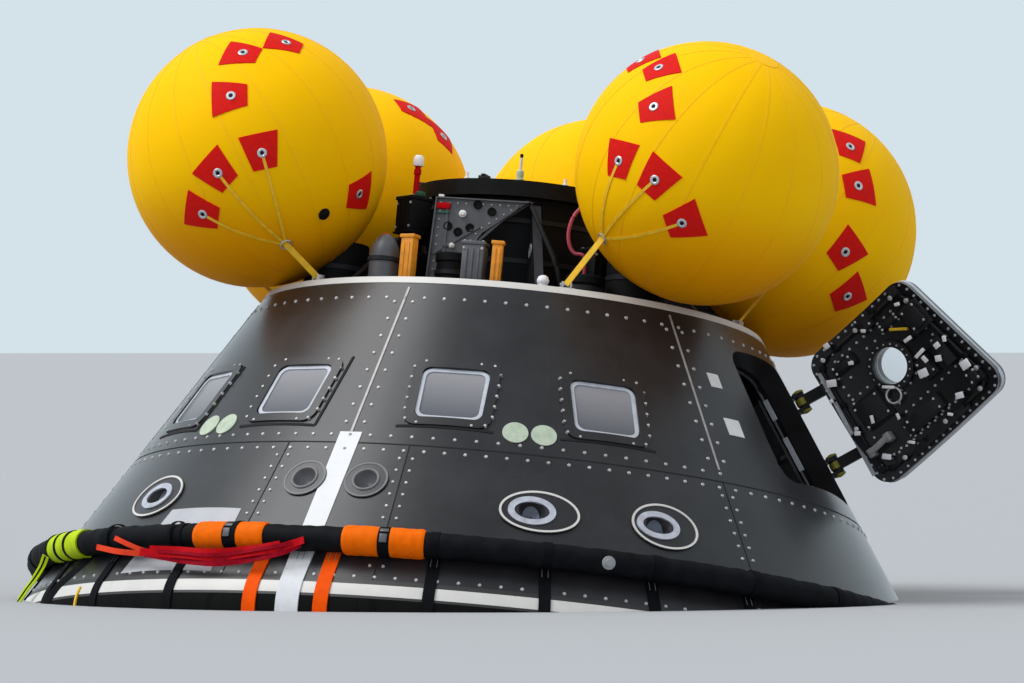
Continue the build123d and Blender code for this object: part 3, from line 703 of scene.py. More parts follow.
rows = [level_wire(TOP_ROW), level_wire(BELT - 0.036), level_wire(FOOT_ROW)]
rows += [level_wire(BELT + 0.045, 0, 60), level_wire(BELT + 0.045, 120, 360)]
rows += [slope_wire(seam, BELT + 0.12, 1.76, side) for seam in SEAM_BEARINGS for side in (-0.052, 0.052)]
bolt_rows("hull_bolts", rows, 0.108, 0.0105, 0.006)
rows = [slope_wire(seam, 0.23, BELT - 0.08, side) for seam in LOWER_SEAMS for side in (-0.035, 0.035)]
bolt_rows("lower_seam_bolts", rows, 0.078, 0.0095, 0.006)

FRAME_HALF_WIDTH, FRAME_HALF_TALL, FRAME_CORNER = 0.232, 0.212, 0.06


def rounded_loop(half_width, half_tall, corner, steps=6):
    """Points of a rectangle with round corners, as (x, y)."""
    spots = []
    centres = ((1, 1), (-1, 1), (-1, -1), (1, -1))
    for quarter, (sx, sy) in enumerate(centres):
        for i in range(steps + 1):
            angle = radians(90 * quarter + 90 * i / steps)
            x = sx * (half_width - corner) + corner * cos(angle)
            y = sy * (half_tall - corner) + corner * sin(angle)
            spots.append((x, y))
    return spots


rows = []
for bearing in WINDOWS:
    loop = rounded_loop(FRAME_HALF_WIDTH, FRAME_HALF_TALL, FRAME_CORNER)
    loop.append(loop[0])
    rows.append([(on_face(bearing, WINDOW_HEIGHT, x, y), outward(bearing)) for x, y in loop])
bolt_rows("window_bolts", rows, 0.072, 0.010, 0.014)

# %% [markdown]
# ## Seams, stripe and painted panels
#
# Thin metal strips cover the seams that run up the cone, and a dark line shows where the upper and the lower
# panels meet. A broad white stripe runs down between the two middle windows to the foot. These are thin slabs
# that follow the cone, a few millimetres proud, so they catch the light as the real ones do.

# %% Strips and stripes on the cone
def slope_strip(bearing, low, high, width, proud):
    """A strip that runs up the cone."""
    path = [on_cone(bearing, h) for h in spaced(low, high, 10)]
    return sweep(path, outward(bearing), flat_section(width, -0.001, proud))


def level_strip(height, width, proud):
    """A strip that runs round the cone at one height."""
    line = [(on_cone(b, height), outward(b)) for b in range(0, 360, 2)]
    return trim(line, flat_section(width, -0.001, proud), closed=True)


STRIPE_WIDTH, STRIPE_TOP = 0.124, 0.986
STRIP_TOP = 1.848
strips = [slope_strip(0, STRIPE_TOP, STRIP_TOP, 0.013, 0.004)]
strips += [slope_strip(seam, 0.99, STRIP_TOP, 0.011, 0.004) for seam in SEAM_BEARINGS[1:]]
piece("seam_strips", strips, LINE)
piece("white_stripe", [slope_strip(0, 0.152, STRIPE_TOP, STRIPE_WIDTH, 0.003)], STRIPE)
gaps = [level_strip(BELT, 0.007, 0.0015)]
gaps += [slope_strip(seam, BAND_HIGH, BELT, 0.006, 0.0015) for seam in LOWER_SEAMS]
piece("panel_gaps", gaps, BLACK_GAP)


def face_patch(bearing, height, corners, proud, steps=8):
    """A thin slab pressed onto the cone, from four (x, y) corners in order."""
    a, b, c, d = [Vector(corner) for corner in corners]
    grids = []
    for lift in (-0.001, proud):
        rows = []
        for i in range(steps + 1):
            left, right = a.lerp(d, i / steps), b.lerp(c, i / steps)
            line = [left.lerp(right, j / steps) for j in range(steps + 1)]
            rows.append([on_face(bearing, height, p.x, p.y, lift) for p in line])
        grids.append(rows)
    return slab(*grids)


LIGHT_PANEL = ((-0.33, -0.23), (0.33, -0.23), (0.28, 0.20), (-0.22, 0.20))
light_panel = piece("light_panel", [face_patch(-19.5, 0.37, LIGHT_PANEL, 0.003)], PANEL_GREY)
PATCHES = ((66.5, 1.513, 0.040, 0.045), (67.0, 1.257, 0.055, 0.055))
shapes = []
for bearing, height, x, y in PATCHES:
    shapes.append(face_patch(bearing, height, ((-x, -y), (x, -y), (x, y), (-x, y)), 0.004, 3))
piece("white_patches", shapes, STRIPE)

# %% [markdown]
# ## Windows
#
# Each pane sits back in its opening, with a pale edge round it that shows as a light border. Under every frame
# runs a deep dark joint, and the two windows on the left show the same joint along one side.

# %% Window borders and joints
BORDER_HALF_WIDTH, BORDER_HALF_TALL, BORDER_CORNER = 0.168, 0.161, 0.05
GLASS_DEPTH = 0.012
borders = []
for bearing in WINDOWS:
    loop = rounded_loop(BORDER_HALF_WIDTH, BORDER_HALF_TALL, BORDER_CORNER)
    origin = on_cone(bearing, WINDOW_HEIGHT)
    path = [origin + across(bearing) * x + upslope(bearing) * y for x, y in loop]
    section = flat_section(0.021, -GLASS_DEPTH - 0.001, -GLASS_DEPTH + 0.006)
    borders.append(sweep(path, outward(bearing), section, closed=True))
piece("window_borders", borders, SEALANT)
JOINTS = (
    (-40.8, 0.240, -0.245, 0.240, 0.200),
    (-40.8, -0.240, -0.245, 0.240, -0.245),
    (-14.8, 0.262, -0.245, 0.262, 0.240),
    (-14.8, -0.245, -0.245, 0.262, -0.245),
    (14.8, -0.262, -0.232, 0.250, -0.232),
    (40.8, -0.262, -0.232, 0.262, -0.232),
)
dark_lines = []
for bearing, x0, y0, x1, y1 in JOINTS:
    path = [on_face(bearing, WINDOW_HEIGHT, x, y) for x, y in zip(spaced(x0, x1, 12), spaced(y0, y1, 12))]
    dark_lines.append(sweep(path, outward(bearing), flat_section(0.016, -0.001, 0.003)))
piece("window_joints", dark_lines, BLACK_GAP)

# %% [markdown]
# ## Thruster openings
#
# Small thrusters fire through oval openings in the lower panels. Each has a thin white line round its rim and a
# nozzle whose lip shows as a paler oval, set to one side, with a blue-grey throat behind it. The lips are turned
# profiles stretched along the hull.

# %% Rims and nozzles
PORTS = (
    (-30.8, 0.620, 0.400, 0.285, 0.100, 0.0),
    (29.8, 0.602, 0.425, 0.275, 0.108, -0.040),
    (47.6, 0.607, 0.380, 0.295, 0.104, -0.040),
)
PAIR_PORTS = ((-4.3, 0.710), (5.1, 0.710), (175.3, 0.710), (184.7, 0.710))
PORT_PROUD = 0.008


def oval_loop(half_width, half_tall, count=48, x=0.0, y=0.0):
    """Points of an oval round (x, y)."""
    return [(x + half_width * cos(a), y + half_tall * sin(a)) for a in full_turn(count)]


def face_ring(bearing, height, loop, section):
    """A closed trim along an outline that lies on an opening's rim."""
    path = [on_face(bearing, height, x, y, PORT_PROUD) for x, y in loop]
    return sweep(path, outward(bearing), section, closed=True)


rims, lips, throats, faint, pair_lips, pair_throats = [], [], [], [], [], []
for bearing, height, width, tallness, lip, shift in PORTS:
    loop = oval_loop(width / 2 - 0.008, tallness / 2 - 0.008)
    rims.append(face_ring(bearing, height, loop, flat_section(0.012, -0.002, 0.005)))
    loop = oval_loop(lip, lip * 0.70, x=shift)
    lips.append(face_ring(bearing, height, loop, flat_section(0.034, -0.003, 0.007)))
    cup = [(lip * 0.68, -0.001), (lip * 0.60, -0.020), (lip * 0.30, -0.045), (0.004, -0.052), (0.004, -0.056),
           (lip * 0.33, -0.050), (lip * 0.66, -0.022), (lip * 0.72, -0.001)]
    centre = on_face(bearing, height, shift, 0, PORT_PROUD)
    throats.append(ring(cup, centre, outward(bearing), 32, 1.38, across(bearing)))
for bearing, height in PAIR_PORTS:
    pair_lips.append(face_ring(bearing, height, oval_loop(0.068, 0.068, 36), circle_section(0.008, 10)))
    faint.append(face_ring(bearing, height, oval_loop(0.112, 0.112, 40), flat_section(0.010, -0.002, 0.002)))
    cup = [(0.060, -0.001), (0.050, -0.020), (0.022, -0.045), (0.004, -0.050), (0.004, -0.054),
           (0.026, -0.050), (0.055, -0.022), (0.064, -0.001)]
    pair_throats.append(ring(cup, on_face(bearing, height, 0, 0, PORT_PROUD), outward(bearing), 28))
piece("port_rims", rims, WHITE)
piece("nozzle_lips", lips, NOZZLE)
piece("nozzle_throats", throats, THROAT)
piece("pair_port_lips", pair_lips, PAIR_METAL)
piece("pair_port_throats", pair_throats, GREY)
piece("pair_port_rings", faint, GREY)

# %% [markdown]
# ## Flotation bags
#
# Each bag is a gas-filled ball of coated fabric, cut in gores like an orange and closed by a small cap at both
# poles. The fabric bulges a little between its seams, and narrow tapes cover the seams. The pole points at the
# bay, where the bag is tied down.

# %% Bag shells
BAG_RADIUS = 0.700
BAG_ORBIT = 1.500
BAG_HEIGHT = 2.615
GORES = 16
BULGE = 0.003
BAGS = {"right_front": 63, "right_rear": 129, "rear": 186.5, "left_rear": 245, "left_front": 308}


def bag_centre(name):
    """The middle of a bag."""
    return at(BAGS[name], BAG_ORBIT, BAG_HEIGHT)


def bag_axes(name):
    """Pole and two cross directions of a bag: the pole leans from the bay up and outwards."""
    bearing = BAGS[name]
    pole = (level_out(bearing) * 0.55 + UP * 0.83).normalized()
    side = across(bearing)
    return pole, side, pole.cross(side)


def bag_shell(name):
    """A ball of gores. The surface stands 1.5 mm inside the seams and bulges between them."""
    centre, (pole, side, other) = bag_centre(name), bag_axes(name)
    rings, around = 48, GORES * 6
    points, faces = [centre + pole * BAG_RADIUS * 0.998], []
    for i in range(1, rings):
        lean = pi * i / rings
        for j in range(around):
            turn = 2 * pi * j / around
            bulge = BULGE * abs(sin(turn * GORES / 2)) * sin(lean)
            radius = BAG_RADIUS - BULGE + bulge
            level = side * cos(turn) + other * sin(turn)
            points.append(centre + (pole * cos(lean) + level * sin(lean)) * radius)
    points.append(centre - pole * BAG_RADIUS * 0.998)
    last = len(points) - 1
    for j in range(around):
        k = (j + 1) % around
        faces.append((0, 1 + j, 1 + k))
        faces.append((last, last - around + k, last - around + j))
        for i in range(rings - 2):
            a, b = 1 + i * around + j, 1 + i * around + k
            faces.append((a, a + around, b + around, b))
    return points, faces


def bag_seams(name):
    """Tapes over the seams between the gores, and a round cap at each pole."""
    centre, (pole, side, other) = bag_centre(name), bag_axes(name)
    shapes = []
    for turn in full_turn(GORES):
        level = side * cos(turn) + other * sin(turn)
        ups = [pole * cos(a) + level * sin(a) for a in map(radians, spaced(7, 173, 40))]
        path = [centre + up * (BAG_RADIUS - BULGE) for up in ups]
        shapes.append(sweep(path, ups, flat_section(0.012, -0.001, 0.0015)))
    cap = [(0.080, -0.0065), (0.078, -0.0030), (0.040, -0.0002), (0.001, 0.0010), (0.001, -0.012), (0.075, -0.014)]
    for end in (pole, -pole):
        shapes.append(spun(cap, centre + end * (BAG_RADIUS - 0.001), end, 32))
    return shapes


for name in BAGS:
    shell = piece("bag_shell_" + name, [bag_shell(name)], YELLOW, smooth=60)
    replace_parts(shell, "bag_" + name)
    piece("bag_seams_" + name, bag_seams(name), SEAM_YELLOW)

# %% [markdown]
# ## The camera
#
# The photograph was taken from far away and low down, through a long lens. The capsule floats tipped back, so
# in its own frame the camera lies low and leans. We need the camera before the patches, because they are placed
# where the photograph shows them.

# %% Camera
PHOTO_SIZE = (1024, 683)
CAMERA_FORWARD = Vector((-0.4032, 0.9056, 0.1317)).normalized()
CAMERA_TARGET = Vector((0, 0, 0.60))
CAMERA_DISTANCE = 45.0
CAMERA_ROLL = radians(5.244)
PIXELS_PER_METRE = 185.4
TARGET_SHIFT = (0.072, 0.789)
SENSOR = 36.0

level_right = CAMERA_FORWARD.cross(UP).normalized()
level_up = level_right.cross(CAMERA_FORWARD)
right = level_right * cos(CAMERA_ROLL) + level_up * sin(CAMERA_ROLL)
camera_up = right.cross(CAMERA_FORWARD)
eye = CAMERA_TARGET - CAMERA_FORWARD * CAMERA_DISTANCE
aim = (CAMERA_TARGET + right * TARGET_SHIFT[0] + camera_up * TARGET_SHIFT[1] - eye).normalized()
view_right = aim.cross(camera_up).normalized()
view_up = view_right.cross(aim)
camera_data = bpy.data.cameras.new("camera")
camera_data.sensor_width = SENSOR
camera_data.lens = SENSOR * PIXELS_PER_METRE * CAMERA_DISTANCE / PHOTO_SIZE[0]
camera_data.clip_start, camera_data.clip_end = 1.0, 20000.0
camera = new_object("camera", camera_data)
camera.matrix_world = Matrix.Translation(eye) @ Matrix((view_right, view_up, -aim)).transposed().to_4x4()
bpy.context.scene.camera = camera
print("camera", [round(v, 3) for v in eye], "lens", round(camera_data.lens, 1))


def sight(x, y):
    """The direction from the camera through a pixel of the photograph."""
    scale = PIXELS_PER_METRE * CAMERA_DISTANCE
    right_by, down_by = x - PHOTO_SIZE[0] / 2, y - PHOTO_SIZE[1] / 2
    return (aim + view_right * right_by / scale - view_up * down_by / scale).normalized()


# %% [markdown]
# ## Red patches and tethers on the bags
#
# Red fabric patches are glued on where the tethers pull. Each is wider at one end and carries a grey eyelet.
# The table gives where the eyelet shows in the photograph and which way the narrow end points, in degrees from
# the right. A line of sight through that point meets the bag, and the patch is laid on there.

# %% Patches
PATCH_LENGTH, PATCH_WIDE, PATCH_NARROW = 0.196, 0.218, 0.130
PATCH_SPOTS = {
    "left_front": (
        (286, 43, -20), (243, 53, -25), (231, 96, 2), (262, 153, -78), (218, 173, -42), (203, 214, -8),
        (359, 194, 172),
    ),
    "right_front": (
        (641, 61, 192), (659, 68, 195), (654, 107, 185), (619, 161, 255), (655, 180, 228), (682, 223, 200),
    ),
    "right_rear": ((850, 147, 250), (858, 186, 190), (845, 252, 215), (847, 296, 200)),
    "left_rear": ((411, 109, 215), (443, 137, 228)),
}
REAR_PATCHES = {
    "rear": ((0, 40), (35, 20), (-35, 20), (60, -15), (-60, -15)),
    "right_rear": ((40, 35), (60, 0)),
    "left_rear": ((-40, 35), (-60, 0), (-30, -20)),
    "left_front": ((-60, -10),),
    "right_front": ((70, -10),),
}


def sphere_hit(name, x, y):
    """Where the line through a pixel meets a bag, as the bag's outward direction there."""
    direction = sight(x, y)
    to_bag = bag_centre(name) - eye
    reach = to_bag.dot(direction)
    miss = to_bag.length_squared - reach**2
    spot = eye + direction * (reach - sqrt(BAG_RADIUS**2 - miss))
    return (spot - bag_centre(name)).normalized()


def bag_facing(name, swing, lift):
    """A bag's outward direction, swung from its bearing and lifted from the level, in degrees."""
    level = level_out(BAGS[name] + swing)
    return (level * cos(radians(lift)) + UP * sin(radians(lift))).normalized()


def bag_patch(name, facing, narrow):
    """A trapezoid on a bag. facing is its outward direction, narrow the way its narrow end points."""
    narrow = (narrow - facing * narrow.dot(facing)).normalized()
    side = facing.cross(narrow)
    grids = []
    for lift in (-0.0045, 0.0030):
        rows = []
        for i in range(9):
            along = i / 8
            half = (PATCH_WIDE + (PATCH_NARROW - PATCH_WIDE) * along) / 2
            row = []
            for j in range(9):
                x = half * (j / 4 - 1)
                y = (along - 0.55) * PATCH_LENGTH
                ray = (facing * BAG_RADIUS + side * x + narrow * y).normalized()
                row.append(bag_centre(name) + ray * (BAG_RADIUS + lift))
            rows.append(row)
        grids.append(rows)
    return slab(*grids)


EYELET = [(0.026, 0.002), (0.026, 0.006), (0.021, 0.009), (0.015, 0.009), (0.011, 0.006), (0.011, 0.002)]
HUB = [(0.0115, 0.003), (0.0115, 0.0045), (0.001, 0.005), (0.001, 0.002)]
patches, eyelets, hubs = [], [], []


def add_patch(name, facing, narrow):
    """A patch with its eyelet."""
    spot = bag_centre(name) + facing * BAG_RADIUS
    patches.append(bag_patch(name, facing, narrow))
    eyelets.append(ring(EYELET, spot, facing, 24))
    hubs.append(spun(HUB, spot, facing, 16))


for name, spots in PATCH_SPOTS.items():
    for x, y, angle in spots:
        turn = radians(angle)
        add_patch(name, sphere_hit(name, x, y), view_right * cos(turn) + view_up * sin(turn))
for name, spots in REAR_PATCHES.items():
    for swing, lift in spots:
        add_patch(name, bag_facing(name, swing, lift), -UP)
piece("bag_patches", patches, RED, smooth=40)
piece("patch_eyelets", eyelets, SILVER)
piece("patch_hubs", hubs, DARK)

# %% [markdown]
# ## Lines of sight
#
# Some small things are placed where the photograph shows them. A line from the camera through that spot meets
# a plane, or an upright cylinder round the axis, and that is where the thing is fixed.

# %% Where a line of sight lands
def meets_plane(x, y, origin, normal):
    """Where the line through a pixel meets a plane."""
    direction = sight(x, y)
    return eye + direction * ((origin - eye).dot(normal) / direction.dot(normal))


def meets_cylinder(x, y, radius):
    """Where the line through a pixel meets the near side of an upright cylinder round the axis."""
    direction = sight(x, y)
    a = direction.x**2 + direction.y**2
    b = eye.x * direction.x + eye.y * direction.y
    c = eye.x**2 + eye.y**2 - radius**2
    return eye + direction * ((-b - sqrt(max(0.0, b * b - a * c))) / a)


def bearing_of(point):
    """The bearing of a point round the axis."""
    return degrees(atan2(point.x, -point.y))


view_out = -aim
print("collar seen in the middle at", [round(v, 2) for v in meets_cylinder(512, 550, 2.49)])

# %% [markdown]
# ## Tethers
#
# Yellow webbing runs from the eyelets over the bag, gathers in a ring, and goes on to a lug on the top ring. A
# tether lies on the bag as far as the bag curves away from its lug, and from there it is straight and taut. So
# the path is an arc on the ball, then a straight line.

# %% Tethers and their lugs
TETHER_WIDTH, TETHER_THICK = 0.016, 0.003
GATHERS = (
    ("left_front", (286, 244), -31.5, ((262, 153), (218, 173), (203, 214))),
    ("right_front", (603, 238), 35.5, ((619, 161), (655, 180), (682, 223))),
)
LUG_RADIUS = 1.285


def arc(start, end, steps=14):
    """Directions along the great circle from one direction to another."""
    swing = start.angle(end)
    if swing < 0.01:
        return [start, end]
    return [
        (start * sin(swing * (1 - i / steps)) + end * sin(swing * i / steps)) / sin(swing)
        for i in range(steps + 1)
    ]


def over_bag(name, facings):
    """Points and outward directions of a line that lies on a bag."""
    lift = BAG_RADIUS + 0.0008
    return [(bag_centre(name) + facing * lift, facing) for facing in facings]


def to_lug(name, facing, lug):
    """A line from a spot on a bag to a lug: over the bag until it leaves it, then straight."""
    away = lug - bag_centre(name)
    last = acos(BAG_RADIUS / away.length)
    toward = away.normalized()
    swing = facing.angle(toward)
    line = over_bag(name, [facing])
    if swing > last:
        leave = arc(toward, facing, 100)[max(1, round(100 * last / swing))]
        line = over_bag(name, arc(facing, leave))
    return line + [(lug, line[-1][1])]


GATHER_RING = [(0.030, 0.002), (0.035, 0.006), (0.030, 0.010), (0.025, 0.006)]
tethers, gather_rings, lugs = [], [], []


def lug_at(bearing):
    """A small fork on the top ring that a tether ends in."""
    spot, axes = at(bearing, LUG_RADIUS, RIM_HIGH), level_axes(bearing)
    for side in (-0.022, 0.022):
        lugs.append(block(spot + axes[0] * side + UP * 0.018, (0.010, 0.045, 0.045), axes, 0.004))
    lugs.append(block(spot + UP * 0.004, (0.085, 0.060, 0.008), axes, 0.002))
    end = spot + UP * 0.026
    lugs.append(sweep([end - axes[0] * 0.034, end + axes[0] * 0.034], UP, circle_section(0.006, 10)))
    return end


for name, gather, bearing, spots in GATHERS:
    middle = sphere_hit(name, *gather)
    for spot in spots:
        line = over_bag(name, arc(sphere_hit(name, *spot), middle))
        tethers.append(trim(line, flat_section(TETHER_WIDTH, 0.0, TETHER_THICK)))
    gather_rings.append(ring(GATHER_RING, bag_centre(name) + middle * BAG_RADIUS, middle, 20))
    tethers.append(trim(to_lug(name, middle, lug_at(bearing)), flat_section(0.034, 0.0, 0.005)))
for name, spots in REAR_PATCHES.items():
    for swing, lift in spots:
        if lift <= 0:
            line = to_lug(name, bag_facing(name, swing, lift), lug_at(BAGS[name] + swing * 0.42))
            tethers.append(trim(line, flat_section(0.024, 0.0, 0.004)))
piece("bag_tethers", tethers, TETHER, smooth=50)
piece("tether_rings", gather_rings, SILVER)
piece("tether_lugs", lugs, SILVER)
VALVE = [(0.034, 0.001), (0.032, 0.006), (0.022, 0.008), (0.020, 0.016), (0.012, 0.019), (0.001, 0.019)]
facing = sphere_hit("left_front", 324, 214)
piece("bag_valve", [spun(VALVE, bag_centre("left_front") + facing * BAG_RADIUS, facing, 24)], DARK)

# %% [markdown]
# ## The top edge of the cone
#
# A narrow white strip runs round the very top of the cone, where the parachute cover was seated until it was
# thrown off. Below it the ring is tiled as the panels are.

# %% Top strip
piece("rim_strip", [level_strip(RIM_HIGH - 0.0195, 0.042, 0.003)], WHITE)

# %% [markdown]
# ## The collar's tube
#
# The collar is fitted after the landing: a tube in a black cover, pumped up by hand, which hugs the foot of the
# cone and holds it up if a bag fails. The cover is laced on, so it creases all round. The creases are waves
# round the tube that only go inwards, and where the tube touches the cone it is pressed flat against it.

# %% Collar tube and its bands
COLLAR_ORBIT, COLLAR_HEIGHT, COLLAR_RADIUS = 2.4184, 0.355, 0.070
SKIN_GAP = 0.0006
HEM_HEIGHT = -0.06


def collar_spot(bearing, angle, radius):
    """A point of the collar's section. Angle 0 points away from the axis and 90 up."""
    swing = radians(angle)
    point = at(bearing, COLLAR_ORBIT + radius * cos(swing), COLLAR_HEIGHT + radius * sin(swing))
    clear = (hypot(point.x, point.y) - hull_radius(point.z + WATERLINE)) * cos(SLOPE)
    return point if clear > SKIN_GAP else point + outward(bearing) * (SKIN_GAP - clear)


def crease(bearing, angle):
    """How far the cover sinks in, from 0 to 1."""
    turn, swing = radians(bearing), radians(angle)
    waves = sin(61 * turn + 2 * sin(swing)) + sin(97 * turn - 2 * swing + 1.3)
    return (waves + sin(173 * turn + swing) + 3) / 6


def collar_skin(first, last, steps, sides, radius_at):
    """A length of tube round the collar, or all of it when it spans a full circle."""
    full = last - first >= 360
    count = steps if full else steps + 1
    points, faces = [], []
    for i in range(count):
        bearing = first + (last - first) * i / steps
        for j in range(sides):
            angle = 360 * j / sides
            points.append(collar_spot(bearing, angle, radius_at(bearing, angle)))
    for i in range(steps):
        near, far = i * sides, ((i + 1) % count) * sides
        for j in range(sides):
            k = (j + 1) % sides
            faces.append((near + j, near + k, far + k, far + j))
    if not full:
        faces.append(tuple(range(sides)))
        faces.append(tuple(range(steps * sides, (steps + 1) * sides)))
    return points, faces


def cover_radius(bearing, angle):
    """The tube's radius under its creased cover."""
    return COLLAR_RADIUS - 0.007 * crease(bearing, angle)


tube = piece("collar_cover", [collar_skin(0, 360, 900, 24, cover_radius)], BLACK_CLOTH, smooth=60)
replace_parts(tube, "collar_tube")
STRAP_BEARINGS = [17 + 326 / 24 * i for i in range(25)]


def tube_out(bearing, spot):
    """The direction from the tube's middle to a spot on it."""
    return (spot - at(bearing, COLLAR_ORBIT, COLLAR_HEIGHT)).normalized()


def collar_band(bearing, width, radius, thickness):
    """A flat band once round the collar's tube."""
    path = [collar_spot(bearing, 360 * i / 28, radius) for i in range(28)]
    line = [(spot, tube_out(bearing, spot)) for spot in path]
    return trim(line, flat_section(width, -0.002, thickness), closed=True)


piece("collar_bands", [collar_band(b, 0.045, 0.0685, 0.0025) for b in STRAP_BEARINGS], WEB_BLACK)

# %% [markdown]
# ## Sleeves, straps and the hem of the collar
#
# Two padded orange sleeves protect the tube beside the stripe, each held by a black band with a buckle. Straps
# run from the tube down over the white band to a hem that passes round under the capsule's edge. Two of them
# are broad and orange, and the white webbing between them carries on the painted stripe.

# %% Sleeves and straps
SLEEVES = (-9.5, 10.8)
SLEEVE_HALF = 5.0
STRAP_THICK = 0.0085
ORANGE_STRAPS = (-5, 4.2)


def sleeve_radius(middle):
    """Radius along a sleeve: full, drawn in at both ends and under the buckle band."""
    def radius_at(bearing, angle):
        along = abs(bearing - middle) / SLEEVE_HALF
        full = 0.0795 - 0.0035 * crease(bearing * 1.7, angle)
        if along > 0.93:
            full -= 0.006 * (along - 0.93) / 0.07
        return full - 0.005 * max(0.0, 1 - (along / 0.16) ** 2)
    return radius_at


for side, bearing in zip(("left", "right"), SLEEVES):
    shape = collar_skin(bearing - SLEEVE_HALF, bearing + SLEEVE_HALF, 60, 28, sleeve_radius(bearing))
    sleeve = piece("collar_sleeve_" + side, [shape], SLEEVE_ORANGE, smooth=60)
    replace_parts(sleeve, "collar_sleeves")
BAND_SHIFT = 0.15
piece("sleeve_bands", [collar_band(b + BAND_SHIFT, 0.062, 0.0745, 0.0032) for b in SLEEVES], WEB_BLACK)
buckles = []
for bearing in SLEEVES:
    side = across(bearing)
    for angle, size in ((8, (0.040, 0.046, 0.008)), (42, (0.046, 0.022, 0.007))):
        spot = collar_spot(bearing + BAND_SHIFT, angle, 0.0795)
        out = tube_out(bearing + BAND_SHIFT, spot)
        buckles.append(block(spot, size, (side, out.cross(side), out), 0.003))
piece("sleeve_buckles", buckles, GREY)


def edge_radius(height):
    """Outside radius of cone and rounded edge at a height."""
    if height > FOOT_HEIGHT:
        return hull_radius(height)
    return WIDEST - SHOULDER + sqrt(SHOULDER**2 - height**2)


def down_strap(bearing, width, thickness, top=0.315, foot=HEM_HEIGHT):
    """A strap from under the tube down over the band and round the edge."""
    line = []
    for height in spaced(top, foot, 18):
        slope = (edge_radius(height - 0.005) - edge_radius(height + 0.005)) / 0.01
        up = (level_out(bearing) + UP * slope).normalized()
        line.append((at(bearing, edge_radius(height), height), up))
    return trim(line, flat_section(width, 0.0, thickness))


black_straps = [down_strap(b, 0.062, STRAP_THICK) for b in STRAP_BEARINGS]
hem = [(at(b, edge_radius(HEM_HEIGHT), HEM_HEIGHT), level_out(b)) for b in range(0, 360, 3)]
black_straps.append(trim(hem, flat_section(0.050, 0.001, 0.007), closed=True))
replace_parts(piece("collar_black_straps", black_straps, WEB_BLACK, smooth=50), "collar_straps")
orange_straps = [down_strap(b, 0.078, STRAP_THICK) for b in ORANGE_STRAPS]
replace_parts(piece("collar_orange_straps", orange_straps, ORANGE), "collar_straps")
piece("stripe_webbing", [down_strap(0, 0.128, STRAP_THICK - 0.001)], WHITE_WEB)
stitches = []
for bearing in STRAP_BEARINGS + [*ORANGE_STRAPS, 0]:
    for side in (-0.016, 0.016):
        stitches.append(down_strap(bearing + degrees(side / 2.4), 0.0025, STRAP_THICK + 0.001, 0.30, 0.24))
piece("strap_stitches", stitches, PALE_GREY)

# %% [markdown]
# ## The webbing bundle
#
# A bundle of red and orange webbing is tied along the left part of the tube and sags a little between its ties.
# Each strand is a flat strap along a smooth curve through a few spots of the photograph, and it leans to and fro
# on its way, so that the strands don't look like one sheet.

# %% Webbing bundle
BUNDLE_RADIUS = 2.4925
# The darker red strands lie on the bundle's lower side. Their colour is painted shade, a darker copy of the red
# webbing.
CLOTHS = {"orange": ORANGE_RED, "red": RED_WEB, "shaded_red": SHADED_RED_WEB}
BUNDLES = (
    ("orange", 0.030, ((97, 547), (115, 551), (135, 553), (158, 554))),
    ("orange", 0.026, ((115, 538), (130, 545), (146, 551), (165, 554))),
    ("shaded_red", 0.046, (
        (146, 553), (165, 556), (188, 560), (212, 562), (238, 560), (262, 556), (284, 550), (300, 543),
    )),
    ("red", 0.040, ((140, 552), (160, 553), (185, 555), (210, 557), (235, 555), (262, 551), (285, 546), (304, 540))),
    ("red", 0.026, ((150, 548), (178, 549), (205, 551), (232, 550), (258, 547), (280, 543))),
    ("shaded_red", 0.018, ((158, 551), (182, 553), (208, 555), (236, 553), (266, 548), (292, 543))),
)


def smooth_line(spots, steps=8):
    """More points on a smooth curve through the spots."""
    line = []
    for i in range(len(spots) - 1):
        a, b = spots[max(0, i - 1)], spots[i]
        c, d = spots[i + 1], spots[min(len(spots) - 1, i + 2)]
        for k in range(steps):
            t = k / steps
            line.append((b * 2 + (c - a) * t + (a * 2 - b * 5 + c * 4 - d) * t**2 + (b * 3 - a - c * 3 + d) * t**3) / 2)
    return line + [spots[-1]]


strands = {name: [] for name in CLOTHS}
for number, (name, width, spots) in enumerate(BUNDLES):
    line = []
    for i, spot in enumerate(smooth_line([meets_cylinder(x, y, BUNDLE_RADIUS + 0.004 * number) for x, y in spots])):
        lean = UP * (0.25 * sin(0.31 * i + number))
        line.append((spot, (Vector((spot.x, spot.y, 0)).normalized() + lean).normalized()))
    strands[name].append(trim(line, flat_section(width, 0.0, 0.0035)))
for name, cloth in CLOTHS.items():
    piece("webbing_bundle_" + name, strands[name], cloth, smooth=50)
ties = [collar_band(bearing_of(meets_cylinder(x, 548, 2.49)), 0.022, 0.079, 0.003) for x in (106, 168, 232)]
piece("bundle_ties", ties, WEB_BLACK)

# %% [markdown]
# ## Where the collar is closed
#
# At the far left a lime-coloured sleeve with a pull handle marks the place where the collar is closed. A broad
# strap passes over it, a thin yellow one hangs beside it, and the tube is filled through a valve on its front.

